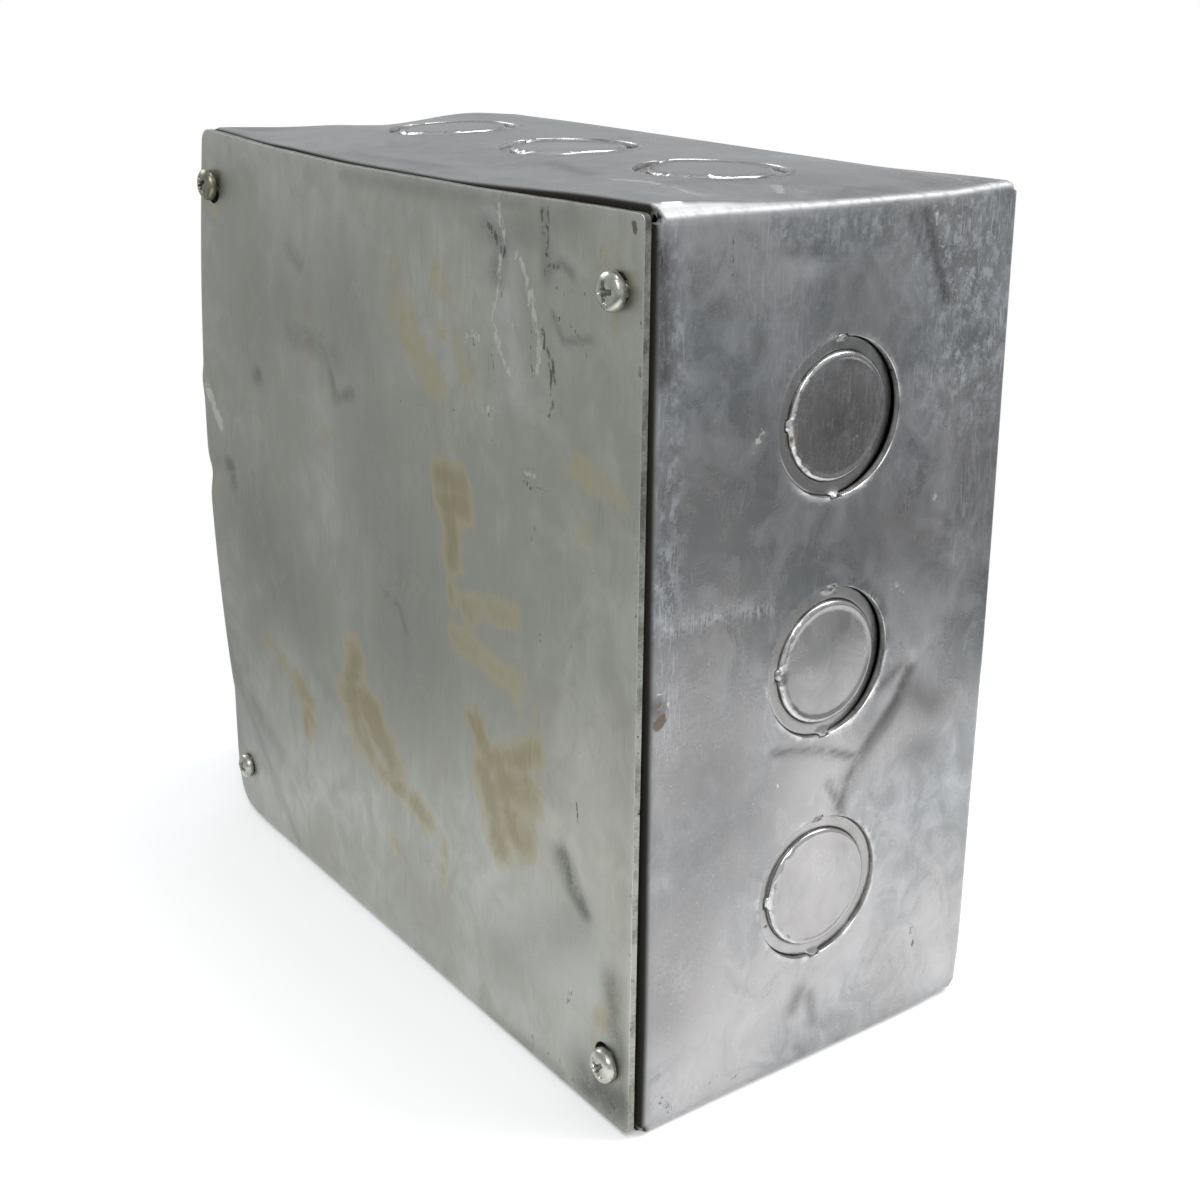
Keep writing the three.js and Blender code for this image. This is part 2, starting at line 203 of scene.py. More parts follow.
class Look:
    """A material, with short ways to add the nodes that make it. Sizes are in millimetres."""

    def __init__(self, name):
        self.material = bpy.data.materials.new(name)
        self.material.use_nodes = True
        self.tree = self.material.node_tree
        self.shader = self.tree.nodes["Principled BSDF"]
        self.at = self.node("ShaderNodeTexCoord").outputs["Object"]

    def node(self, kind, **settings):
        made = self.tree.nodes.new(kind)
        for key, value in settings.items():
            setattr(made, key, value)
        return made

    def feed(self, socket, value):
        if isinstance(value, bpy.types.NodeSocket):
            self.tree.links.new(value, socket)
        else:
            socket.default_value = value

    def sum(self, operation, a, b=0.0, clamp=False):
        made = self.node("ShaderNodeMath", operation=operation, use_clamp=clamp)
        self.feed(made.inputs[0], a)
        self.feed(made.inputs[1], b)
        return made.outputs[0]

    def times(self, *values):
        total = values[0]
        for value in values[1:]:
            total = self.sum("MULTIPLY", total, value)
        return total

    def plus(self, *values):
        total = values[0]
        for value in values[1:]:
            total = self.sum("ADD", total, value)
        return total

    def mixed(self, *parts):
        """The sum of (value, weight) pairs."""
        return self.plus(*[self.times(value, weight) for value, weight in parts])

    def most(self, *values):
        total = values[0]
        for value in values[1:]:
            total = self.sum("MAXIMUM", total, value)
        return total

    def noise(self, size, detail=4.0, rough=0.55, stretch=(1, 1, 1), shift=0.0, turn=(0, 0, 0), twist=0.0):
        """Smooth noise with blobs about size across, longer by a factor along each axis."""
        mapping = self.node("ShaderNodeMapping")
        self.feed(mapping.inputs["Vector"], self.at)
        mapping.inputs["Rotation"].default_value = turn
        mapping.inputs["Location"].default_value = (shift, shift * 0.7, -shift * 1.3)
        mapping.inputs["Scale"].default_value = [1 / (MM * size * factor) for factor in stretch]
        made = self.node("ShaderNodeTexNoise")
        self.feed(made.inputs["Vector"], mapping.outputs[0])
        made.inputs["Scale"].default_value = 1.0
        made.inputs["Detail"].default_value = detail
        made.inputs["Roughness"].default_value = rough
        made.inputs["Distortion"].default_value = twist
        return made.outputs["Fac"]

    def band(self, value, low, high):
        """0 below low, 1 above high, smooth between them."""
        made = self.node("ShaderNodeMapRange", interpolation_type="SMOOTHSTEP")
        self.feed(made.inputs["Value"], value)
        made.inputs["From Min"].default_value = low
        made.inputs["From Max"].default_value = high
        return made.outputs[0]

    def blend(self, factor, a, b):
        made = self.node("ShaderNodeMix", data_type="RGBA")
        self.feed(made.inputs[0], factor)
        for socket, value in ((made.inputs[6], a), (made.inputs[7], b)):
            self.feed(socket, value if isinstance(value, bpy.types.NodeSocket) else (*value, 1))
        return made.outputs[2]

    def painted(self, name):
        """A mask that the shape code wrote on the mesh's vertices."""
        return self.node("ShaderNodeAttribute", attribute_name=name).outputs["Fac"]

    def marked(self, name, ragged, share, low, high):
        """Where a painted mask is strong, with its border made ragged by noise."""
        return self.band(self.plus(self.painted(name), self.times(ragged, share)), low, high)

    def tint(self, colour, other, *factors):
        """The colour, turned towards another one as far as the product of the factors says."""
        return self.blend(self.times(*factors), colour, other)

    def smudges_and_shade(self, blotch, speck):
        """Dark rubbed dirt and painted shade in dents and creases, broken up by blotches and specks."""
        rubbed = self.band(self.mixed((blotch, 1.0), (speck, 0.3)), 0.35, 0.75)
        return self.times(self.painted("dark"), rubbed)

    def worn_and_lit(self, size, shift):
        """Edges that are rubbed bright, here and there, and painted highlights on the sides of knockout
        rims that face the light.
        """
        rubbed = self.band(self.noise(size, 4.0, 0.6, shift=shift), 0.36, 0.5)
        return self.times(self.painted("wear"), rubbed)

    def scratches(self, size, length, turn, shift, amount):
        """Fine straight marks that run along one direction, only here and there."""
        lines = self.noise(size, 1.0, 0.4, (1, 1, length), shift, turn)
        patches = self.noise(22, 2.0, 0.5, (1, 1, 1), shift + 5)
        return self.times(self.band(lines, 0.70 - amount, 0.76 - amount), self.band(patches, 0.45, 0.62))

    def finish(self, colour, rough, metal, height, depth, grime=0.0):
        """Sets the shader. height is about 0 to 1 and stands for depth mm. Painted shade doesn't shine."""
        shine = self.times(self.sum("SUBTRACT", 1.0, grime), 0.5)
        self.feed(self.shader.inputs["Specular IOR Level"], shine)
        bump = self.node("ShaderNodeBump")
        bump.inputs["Strength"].default_value = 1.0
        bump.inputs["Distance"].default_value = depth * MM
        self.feed(bump.inputs["Height"], height)
        self.feed(self.shader.inputs["Base Color"], colour)
        self.feed(self.shader.inputs["Roughness"], rough)
        self.feed(self.shader.inputs["Metallic"], metal)
        self.feed(self.shader.inputs["Normal"], bump.outputs[0])
        return self.material


def zinc_sheet(name, shade, light, smooth, shift):
    """Old galvanised sheet: clouds of oxide, a rolled grain, wiped streaks, scuffs and dirt, with painted
    shade in gaps, dents and creases, a painted reflection of the floor low on the walls, and painted
    highlights on knockout rims.
    """
    look = Look(name)
    clouds = look.noise(42, 4.0, 0.55, (1, 1, 1.2), shift, twist=0.6)
    blotch = look.noise(10, 6.0, 0.66, (1, 1, 1.15), shift + 3, twist=1.0)
    grain = look.noise(0.8, 2.0, 0.5, (1, 1, 12), shift + 6)
    streak = look.noise(4.0, 3.0, 0.5, (1, 1, 6), shift + 9)
    speck = look.noise(0.7, 2.0, 0.6, shift=shift + 11)
    torn = look.noise(1.3, 5.0, 0.7, (1, 1, 1.6), shift + 27, twist=0.8)
    tone = look.mixed((clouds, 0.45), (blotch, 0.46), (streak, 0.04), (grain, 0.02))
    colour = look.blend(look.band(tone, 0.36, 0.64), shade, light)
    warm = look.band(look.noise(30, 3.0, 0.5, shift=shift + 14), 0.45, 0.7)
    colour = look.tint(colour, (0.35, 0.325, 0.315), warm, 0.4)

    scuffed = look.painted("scuff")
    scratched = look.most(
        look.scratches(0.5, 14, (0.6, 0, 0), shift + 17, 0.10),
        look.scratches(0.5, 16, (-0.6, 0.2, 0), shift + 21, 0.08),
    )
    cloudy = look.band(look.noise(2.6, 6.0, 0.8, (1, 1, 1.3), shift + 24, (0.6, 0, 0)), 0.46, 0.64)
    scratched = look.times(scratched, look.plus(look.times(scuffed, 0.8), 0.05))
    scuffs = look.most(scratched, look.times(cloudy, scuffed, 0.75))
    colour = look.tint(colour, (0.57, 0.585, 0.635), scuffs)

    # Pale marks: partly paler patches, partly a painted reflection of the floor low on the right wall.
    pale = look.times(look.painted("pale"), look.plus(0.45, look.times(blotch, 0.9)))
    colour = look.tint(colour, (0.53, 0.51, 0.505), look.sum("MINIMUM", pale, 0.85))
    # Dark marks: dirt, and painted shade along dents and creases.
    smudge_and_shade = look.smudges_and_shade(blotch, speck)
    colour = look.tint(colour, (0.083, 0.077, 0.076), smudge_and_shade)
    bright = look.marked("gouge", torn, 1.8, 1.4, 1.62)
    colour = look.tint(colour, (0.72, 0.70, 0.65), bright, 0.85)
    dots = look.times(look.band(speck, 0.72, 0.78), look.band(blotch, 0.5, 0.6), 0.7)
    fleck = look.most(dots, look.marked("fleck", torn, 1.5, 1.3, 1.46))
    colour = look.tint(colour, (0.075, 0.075, 0.08), fleck, 0.8)
    spark = look.band(look.noise(0.6, 2.0, 0.5, shift=shift + 33), 0.715, 0.75)
    colour = look.tint(colour, (0.70, 0.71, 0.72), spark, 0.4)
    rust = look.marked("rust", torn, 0.9, 0.85, 1.1)
    colour = look.tint(colour, (0.115, 0.085, 0.062), rust, 0.9)
    # Rubbed edges, and painted highlights on knockout rims and hole lips.
    wear = look.worn_and_lit(2.5, shift + 30)
    colour = look.tint(colour, (0.62, 0.62, 0.615), wear)
    # Painted shade: near black in the gap behind the cover, at the knockout holes and inside the box.
    patchy = look.band(look.mixed((blotch, 1.0), (torn, 0.6)), 0.2, 0.62)
    grime = look.times(look.painted("grime"), patchy)
    colour = look.tint(colour, (0.022, 0.020, 0.017), grime)

    rough = look.plus(smooth, look.times(look.band(tone, 0.4, 0.62), 0.07), look.times(scuffs, 0.16))
    rough = look.plus(rough, look.mixed((rust, 0.3), (grime, 0.3), (wear, -0.04), (smudge_and_shade, 0.1)))
    rough = look.plus(rough, look.times(look.painted("dull"), 0.32))
    metal = look.sum("SUBTRACT", 0.97, look.mixed((rust, 0.8), (grime, 0.97), (scuffs, 0.15)), True)
    height = look.mixed(
        (blotch, 0.45), (grain, 0.01), (speck, 0.05), (scuffs, -0.05), (bright, -0.25), (rust, -0.2)
    )
    return look.finish(colour, rough, metal, height, 0.10, grime)


def cover_sheet(name):
    """The cover's duller sheet: greenish grey, with tan stains, wiped streaks, dings and fine scratches,
    painted shade in its dents and a painted reflection of the floor along its bottom.
    """
    look = Look(name)
    clouds = look.noise(50, 4.0, 0.5, (1, 1, 1.2), 41, twist=0.4)
    blotch = look.noise(10, 6.0, 0.62, (1, 1, 1.3), 44, twist=0.9)
    grain = look.noise(0.8, 2.0, 0.5, (1, 1, 20), 47)
    streak = look.noise(5.0, 3.0, 0.5, (1, 1, 5), 49)
    speck = look.noise(0.7, 2.0, 0.6, shift=52)
    torn = look.noise(1.2, 5.0, 0.7, (1, 1, 2.2), 58, twist=0.8)
    tone = look.mixed((clouds, 0.45), (blotch, 0.32), (streak, 0.12), (grain, 0.03))
    colour = look.blend(look.band(tone, 0.38, 0.62), (0.325, 0.327, 0.288), (0.445, 0.447, 0.402))

    edge = look.noise(8.0, 5.0, 0.62, (1, 1, 1.5), 55, twist=1.2)
    stain = look.marked("stain", edge, 1.25, 0.93, 1.16)
    colour = look.tint(colour, (0.36, 0.323, 0.22), stain, 0.8)
    colour = look.tint(colour, (0.27, 0.232, 0.14), look.marked("stain", edge, 1.25, 1.12, 1.7), 0.85)
    # Pale marks: partly paler wiped patches, partly a painted reflection of the floor, lighter along the
    # bottom.
    mottle = look.band(look.mixed((blotch, 1.0), (clouds, 0.6)), 0.45, 1.05)
    pale = look.times(look.painted("pale"), mottle)
    colour = look.tint(colour, (0.52, 0.54, 0.53), pale, 0.6)
    # Dark marks: dirt, and painted shade in the cover's dents.
    smudge_and_shade = look.smudges_and_shade(blotch, speck)
    colour = look.tint(colour, (0.11, 0.112, 0.098), smudge_and_shade)
    bright = look.marked("gouge", torn, 2.0, 1.5, 1.75)
    colour = look.tint(colour, (0.60, 0.61, 0.54), bright, 0.65)
    scratched = look.most(
        look.scratches(0.45, 24, (0, 0.25, 0), 61, 0.04),
        look.scratches(0.45, 18, (0, -0.5, 0), 64, 0.03),
    )
    colour = look.tint(colour, (0.14, 0.145, 0.135), scratched, 0.2)
    dots = look.times(look.band(speck, 0.70, 0.76), look.band(blotch, 0.5, 0.6), 0.8)
    ink = look.noise(0.9, 4.0, 0.7, (1, 1, 2.6), 70)
    fleck = look.most(dots, look.marked("fleck", ink, 1.7, 1.36, 1.52))
    colour = look.tint(colour, (0.07, 0.07, 0.055), fleck, 0.85)
    rust = look.marked("rust", torn, 0.7, 0.92, 1.12)
    colour = look.tint(colour, (0.075, 0.058, 0.036), rust, 0.9)
    wear = look.worn_and_lit(2.0, 67)
    colour = look.tint(colour, (0.58, 0.59, 0.56), wear)

    rough = look.plus(0.40, look.mixed((tone, 0.12), (stain, 0.05), (smudge_and_shade, 0.08), (rust, 0.15)))
    rough = look.plus(rough, look.mixed((wear, -0.12), (bright, -0.08), (pale, -0.03)))
    metal = look.sum("SUBTRACT", 0.86, look.mixed((rust, 0.6), (stain, 0.25), (smudge_and_shade, 0.2)), True)
    height = look.mixed((blotch, 0.4), (grain, 0.02), (speck, 0.05), (bright, -0.5), (scratched, -0.03))
    return look.finish(colour, rough, metal, height, 0.09)


def cut_edge(name, shift, shade, light):
    """A sheared edge: burnished metal with torn places, a few dark nicks, and painted shade where the edge
    lies in a gap or inside the box.
    """
    look = Look(name)
    streak = look.noise(0.7, 3.0, 0.6, shift=shift)
    clouds = look.noise(7, 4.0, 0.6, shift=shift + 4)
    colour = look.blend(look.band(look.mixed((streak, 0.5), (clouds, 1.0)), 0.55, 0.9), shade, light)
    nick = look.band(look.noise(2.2, 4.0, 0.6, shift=shift + 8), 0.64, 0.70)
    colour = look.tint(colour, (0.05, 0.05, 0.04), nick)
    # Painted shade: near black where the edge lies in a gap or inside the box.
    grime = look.painted("grime")
    colour = look.tint(colour, (0.012, 0.011, 0.01), grime)
    rough = look.plus(0.26, look.mixed((clouds, 0.2), (nick, 0.3), (grime, 0.3)))
    metal = look.sum("SUBTRACT", 0.93, look.times(grime, 0.93), True)
    return look.finish(colour, rough, metal, streak, 0.03, grime)


def screw_finish(name, plating, shade_colour, smooth, shift):
    """Plated screw: bright, finely pitted, with painted shade in its recess, a little on its head's rim and
    side, and on its shank.
    """
    look = Look(name)
    clouds = look.noise(2.4, 4.0, 0.6, shift=shift)
    pits = look.noise(0.35, 2.0, 0.6, shift=shift + 3)
    colour = look.blend(look.band(clouds, 0.35, 0.7), plating, [0.72 * part for part in plating])
    patchy = look.band(look.mixed((clouds, 1.0), (pits, 0.4)), 0.3, 0.7)
    grime = look.times(look.painted("dark"), patchy)
    colour = look.tint(colour, shade_colour, grime, 0.85)
    rough = look.plus(smooth, look.mixed((clouds, 0.12), (grime, 0.3)))
    metal = look.sum("SUBTRACT", 1.0, look.times(grime, 0.5), True)
    return look.finish(colour, rough, metal, look.mixed((clouds, 0.6), (pits, 0.4)), 0.04)


# ---------------------------------------------------------------- flat shapes cut into fine triangles

def ring_of(radius, count, centre=(0, 0)):
    """A closed loop, anticlockwise. radius is a number or a function of the angle."""
    loop = []
    for n in range(count):
        angle = 2 * math.pi * n / count
        far = radius(angle) if callable(radius) else radius
        loop.append((centre[0] + far * math.cos(angle), centre[1] + far * math.sin(angle)))
    return loop


def tied_ring(radius, reach, half, ends, count=120, centre=(0, 0)):
    """A circle with a square bump of the given reach and half width at each of the given angles."""
    wide = half / radius
    angles = [2 * math.pi * n / count for n in range(count)]
    for end in ends:
        angles = [a for a in angles if abs((a - end + math.pi) % (2 * math.pi) - math.pi) > wide + 0.02]
        for side in (-1, 1):
            angles += [(end + side * (wide + rim)) % (2 * math.pi) for rim in (0.012, -0.002)]
        angles.append(end)
    loop = []
    for angle in sorted(a % (2 * math.pi) for a in angles):
        near = [abs((angle - end + math.pi) % (2 * math.pi) - math.pi) < wide for end in ends]
        far = radius + (reach if any(near) else 0)
        loop.append((centre[0] + far * math.cos(angle), centre[1] + far * math.sin(angle)))
    return loop


def refine(loop, step):
    """The same closed loop, with points no further apart than step."""
    result = []
    for (x0, y0), (x1, y1) in zip(loop, loop[1:] + loop[:1]):
        count = max(1, math.ceil(math.hypot(x1 - x0, y1 - y0) / step))
        result += [(x0 + (x1 - x0) * n / count, y0 + (y1 - y0) * n / count) for n in range(count)]
    return result


def inset(loop, distance):
    """Points beside a closed loop, on its left by distance."""
    here = np.array(loop)
    along = np.roll(here, -1, axis=0) - np.roll(here, 1, axis=0)
    along /= np.maximum(np.linalg.norm(along, axis=1), 1e-9)[:, None]
    return here + distance * np.stack([-along[:, 1], along[:, 0]], axis=1)


def reach_to(points, corners):
    """Distance of each point to the nearest stretch of a line through the corners."""
    best = np.full(len(points), 1e9)
    for start, end in zip(corners, corners[1:]):
        run = end - start
        share = np.clip(((points - start) @ run) / max(run @ run, 1e-12), 0, 1)
        gap = points - start - share[:, None] * run
        best = np.minimum(best, np.hypot(gap[:, 0], gap[:, 1]))
    return best


def reach_to_loops(points, loops):
    """Distance of each point to the nearest of the closed loops."""
    return np.min([reach_to(points, np.array(loop + loop[:1])) for loop in loops], axis=0)


def inside(points, loop):
    """Which points lie inside a closed loop."""
    x, y = points.T
    result = np.zeros(len(points), bool)
    starts = np.array(loop)
    for (x0, y0), (x1, y1) in zip(starts, np.roll(starts, -1, axis=0)):
        if y0 != y1:
            result ^= ((y0 > y) != (y1 > y)) & (x < (x1 - x0) * (y - y0) / (y1 - y0) + x0)
    return result


class Blank:
    """A flat sheet with holes, cut into triangles: points, faces, and each point's distance to an edge."""

    def __init__(self, outline, holes, grid, rows, clearance):
        loops = [outline] + holes
        insides = [outline] + [hole[::-1] for hole in holes]
        inner = [inset(loop, row) for loop in insides for row in rows] + [np.array(grid)]
        limit = [np.full(len(loop), 0.8 * row) for loop in insides for row in rows]
        limit.append(np.full(len(grid), max(rows, default=0) + clearance))
        inner = np.concatenate(inner)
        limit = np.concatenate(limit)
        distance = reach_to_loops(inner, loops)
        keep = self.on_sheet(inner, outline, holes) & (distance > limit)
        points = np.concatenate([np.array(loop) for loop in loops] + [inner[keep]])
        edges = []
        for loop in loops:
            first = len(edges)
            edges += [(first + n, first + (n + 1) % len(loop)) for n in range(len(loop))]
        made = delaunay_2d_cdt([Vector(p) for p in points.tolist()], edges, [], 0, 1e-7)
        self.points = np.array([tuple(v) for v in made[0]])
        faces = np.array(made[2])
        middle = self.points[faces].mean(axis=1)
        faces = faces[self.on_sheet(middle, outline, holes)]
        a, b, c = (self.points[faces[:, n]] for n in range(3))
        area = (b - a)[:, 0] * (c - a)[:, 1] - (b - a)[:, 1] * (c - a)[:, 0]
        faces[area < 0] = faces[area < 0][:, ::-1]
        self.faces = faces[np.abs(area) > 1e-9]
        self.edge = reach_to_loops(self.points, loops)

    @staticmethod
    def on_sheet(points, outline, holes):
        result = inside(points, outline)
        for hole in holes:
            result &= ~inside(points, hole)
        return result

    def rim(self):
        """Directed edges that only one triangle has."""
        seen = set()
        for a, b, c in self.faces.tolist():
            seen.update(((a, b), (b, c), (c, a)))
        return [(a, b) for a, b in seen if (b, a) not in seen]


def roll(distance, radius):
    """How far a rounded edge has dropped at a distance from it."""
    short = np.clip(radius - distance, 0, radius)
    return radius - np.sqrt(np.maximum(radius * radius - short * short, 0))


def make_object(name, points, faces, looks, face_looks=None, masks=None, sharp=38):
    """An object from points in mm. masks are values for each point, which materials read."""
    mesh = bpy.data.meshes.new(name)
    mesh.from_pydata((np.asarray(points) * MM).tolist(), [], faces)
    for look in looks:
        mesh.materials.append(look)
    if face_looks is not None:
        mesh.polygons.foreach_set("material_index", face_looks)
    bm = bmesh.new()
    bm.from_mesh(mesh)
    bmesh.ops.recalc_face_normals(bm, faces=bm.faces)
    bm.to_mesh(mesh)
    bm.free()
    for key, values in (masks or {}).items():
        layer = mesh.attributes.new(key, "FLOAT", "POINT")
        layer.data.foreach_set("value", np.asarray(values, np.float32))
    mesh.shade_smooth()
    mesh.set_sharp_from_angle(angle=math.radians(sharp))
    piece = bpy.data.objects.new(name, mesh)
    bpy.context.scene.collection.objects.link(piece)
    return piece


def solid_sheet(name, blank, place, rounding, looks, paint, thickness=SHEET):
    """Both faces of a blank and its sheared edges. place(points, depth) bends it into shape."""
    count = len(blank.points)
    outer = place(blank.points, roll(blank.edge, rounding))
    inner = place(blank.points, np.full(count, thickness))
    faces = blank.faces.tolist()
    faces += (blank.faces[:, ::-1] + count).tolist()
    flat = len(faces)
    faces += [(a, a + count, b + count, b) for a, b in blank.rim()]
    kinds = [0] * flat + [1] * (len(faces) - flat)
    points = np.concatenate([outer, inner])
    masks = paint(blank.points, outer, inner)
    return make_object(name, points, faces, looks, kinds, masks)


def both_faces(outer, share=0.0):
    """A mask for a sheet's outer points, then a share of it for the inner ones."""
    return np.concatenate([outer, share * outer])


def ease(value, low, high):
    """0 below low, 1 above high, smooth between them."""
    share = np.clip((value - low) / (high - low), 0, 1)
    return share * share * (3 - 2 * share)


WAVE_COUNT = 10


def waves(x, y, size, seed):
    """Gentle seeded unevenness, about -1 to 1, with humps about size across."""
    rng = random.Random(seed)
    total = np.zeros(len(x))
    for _ in range(WAVE_COUNT):
        angle = rng.uniform(0, math.pi)
        length = size * rng.uniform(0.8, 2.2)
        across = x * math.cos(angle) + y * math.sin(angle)
        total += np.sin(2 * math.pi * across / length + rng.uniform(0, 6.3))
    return total / math.sqrt(WAVE_COUNT)


def bump_at(distance, width):
    """1 at no distance, falling off smoothly over width."""
    return np.exp(-((distance / width) ** 2))


def near_line(x, y, line, width):
    """1 on a line through the given points, falling off smoothly over width."""
    corners = np.array(line, float)
    if len(corners) == 1:
        corners = np.concatenate([corners, corners])
    return bump_at(reach_to(np.stack([x, y], axis=1), corners), width)


SHEET_MARKS = ("scuff", "dark", "pale", "gouge", "fleck", "rust")


def marks_at(x, y, marks):
    """The strongest of several marks at each point. A mark is (line, width, strength)."""
    total = np.zeros(len(x))
    for line, width, strength in marks:
        total = np.maximum(total, strength * near_line(x, y, line, width))
    return total


# ---------------------------------------------------------------- how the box is knocked about

# Dents in a wall, in mm: a line along the wall and its depth, a width, and how far it is pushed out.
WALL_DENTS = {
    "top": [
        ([(-62, 4), (60, 0)], 34, 2.3),
        ([(72, -22), (88, -27)], 3, -0.35),
        ([(96, -6), (84, 0)], 3, -0.3),
        ([(-30, -30), (20, -32)], 9, -0.5),
        ([(-95, -40)], 16, -0.9),
    ],
    "right": [
        ([(-55, -23)], 2.6, -0.35),
        ([(-33, 31)], 2.8, -0.4),
        ([(-91, -14), (-90, -9)], 3.0, -0.45),
        ([(-80, -34)], 3.5, -0.3),
        ([(7, 26), (15, 22), (25, 12), (38, 6)], 1.9, -0.32),
        ([(18, -15), (21, -1), (26, 10)], 1.4, -0.10),
        ([(-18, -48), (-17, -18)], 2.5, -0.06),
        ([(-88, 26), (-76, 31)], 2.0, -0.25),
        ([(24, 14)], 11, 0.5),
        ([(-20, -36), (40, -34)], 16, 0.2),
        ([(60, 30)], 20, 0.4),
    ],
    "left": [([(30, -10)], 20, 0.9), ([(-40, 22)], 3, -0.4)],
    "bottom": [([(10, 5)], 26, -0.7)],
}
WALL_WAVES = {"top": 0.30, "right": 0.20, "bottom": 0.2, "left": 0.35}

# Pushes that move everything near a place: centre, reach and move, in mm in the row frame.
KNOCKS = [
    ((-101, -48, 203), 20, (0.5, 0.3, 0)),
    ((-101, -48, 0), 9, (2.0, 0.8, 1.6)),
    ((101, -50, 0), 70, (0, 0.3, 0)),
    ((101, -50, 0), 15, (0, -0.3, -0.5)),
    ((101, 50, 0), 10, (-0.6, -0.3, 0.3)),
    ((101, -50, 203), 16, (0, 0, -0.5)),
]
# How much higher the front edge of the top is than it should be, at places across the box.
FRONT_RISE = ([-104, -60, -18, 30, 100], [1.5, 0.2, -0.5, -0.3, 0.75])
# The same for the bend between the top and the left wall, from the front to the back.
LEFT_RISE = ([-50, -30, -12, 6, 34, 54], [0, -0.1, 0.1, -0.8, 0.9, -0.4])


def between(value, places, heights):
    """Smooth steps from one height to the next, each level at its own place."""
    total = np.full(len(value), float(heights[0]))
    for n in range(len(places) - 1):
        total += (heights[n + 1] - heights[n]) * ease(value, places[n], places[n + 1])
    return total


def lean(x, y, z):
    """How much lower the box's front is than it should be: most at the top left."""
    return (0.011 * x - 1.1) * np.clip(z / SIDE, 0, 1) * (1 - ease(y, FRONT, BACK + 20))


def knock(points):
    """Moves points as the box's knocks have moved the metal there."""
    x, y, z = points.T
    total = np.zeros_like(points)
    near_top = ease(z, 186, 202)
    front = between(x, *FRONT_RISE) * bump_at(y - FRONT, 24) * near_top
    left = between(y, *LEFT_RISE) * bump_at(x + HALF, 26) * near_top
    curl = 1.9 * np.clip((x - 25) / 75, 0, 1) * ease(100.6 - x, 0, 1.6) * ease(z, 198, 202)
    total[:, 2] = lean(x, y, z) + front + left + curl * bump_at(y - FRONT, 26)
    back_edge = ease(y, 30, 52) * ease(x, 55, 100)
    total[:, 1] += back_edge * (1.3 + 0.7 * bump_at(z - 110, 60))
    total[:, 2] += back_edge * 0.9 * ease(z, 185, 203)
    for centre, reach, move in KNOCKS:
        far = np.linalg.norm(points - np.array(centre), axis=1)
        total += bump_at(far, reach)[:, None] * np.array(move)
    return points + total


def swell(wall, along, depth):
    """How far a wall stands out from flat. It is still flat at its bends."""
    ends = ease(HALF - BEND - np.abs(along), 0, 9)
    sides = ease(TUBE / 2 - np.abs(depth), 0, 9)
    total = WALL_WAVES[wall] * waves(along, depth, 60, WALLS.index(wall) + 3)
    for line, width, out in WALL_DENTS[wall]:
        total = total + out * near_line(along, depth, line, width)
    return total * ends * sides


def on_wall(n, along, depth, out):
    """Row frame points for places in a wall's own frame: along it, back from its middle, and out of it."""
    turn = n * math.pi / 2
    x = along * math.cos(turn) + (out + HALF) * math.sin(turn)
    z = (out + HALF) * math.cos(turn) - along * math.sin(turn) + HALF
    return np.stack([x, depth + MIDDLE, z], axis=1)


# ---------------------------------------------------------------- the wrapper

def strip_outline():
    """The strip before it is bent: u runs around the box and v from the front to the back."""
    front, rear = [], []
    for n in range(4):
        low = n * STEP + (SEAM if n == 0 else 0)
        high = n * STEP + RUN
        for side, leg, base, sign in ((front, FRONT_LEG, 0, -1), (rear, REAR_LEG, TUBE, 1)):
            side += [
                (low, base),
                (low + MITRE, base + sign * TURN),
                (low + MITRE + leg, base + sign * (TURN + leg)),
                (high - MITRE - leg, base + sign * (TURN + leg)),
                (high - MITRE, base + sign * TURN),
                (high, base),
            ]
    front.append((4 * STEP, 0))
    rear.append((4 * STEP, TUBE))
    return refine(front + rear[::-1], 2.4)


def knockout_places():
    return [k * PITCH for k in (-1, 0, 1)]


def strip_holes():
    holes = []
    for n in range(4):
        for along in knockout_places():
            centre = (n * STEP + RUN / 2 + along, TUBE / 2)
            holes.append(tied_ring(RING_HOLE, TIE_REACH, TIE + TIE_PLAY, (0, math.pi), 120, centre))
        if STRIP[n] in (1, 3):
            for along in (-SCREW_Z, SCREW_Z):
                centre = (n * STEP + RUN / 2 + along, -TURN - (HALF - SCREW_X - BEND))
                holes.append(ring_of(TAPPED_HOLE, 32, centre))
    return holes


def span(low, high, step):
    count = max(1, round((high - low) / step))
    return [low + (high - low) * n / count for n in range(count + 1)]


FINE_STEP = 1.25  # grid of the two walls in view, fine enough for thin marks
COARSE_STEP = 3.4
LEG_STEP = 2.6
BEND_ROWS = 7


def strip_grid():
    grid = []
    for n in range(4):
        step = FINE_STEP if STRIP[n] in (0, 1) else COARSE_STEP
        columns = span(n * STEP, n * STEP + RUN, step)[:-1]
        bend = span(n * STEP + RUN, (n + 1) * STEP, TURN / BEND_ROWS)
        rows = span(-TURN - FRONT_LEG, -TURN, LEG_STEP)[:-1] + span(-TURN, 0, TURN / BEND_ROWS)[:-1]
        rows += span(0, TUBE, step) + span(TUBE, TUBE + TURN, TURN / BEND_ROWS)[1:]
        rows += span(TUBE + TURN, TUBE + TURN + REAR_LEG, LEG_STEP)[1:]
        grid += [(u, v) for u in columns for v in rows]
        grid += [(u, v) for u in bend[:-1] for v in span(0, TUBE, step)]
    return grid


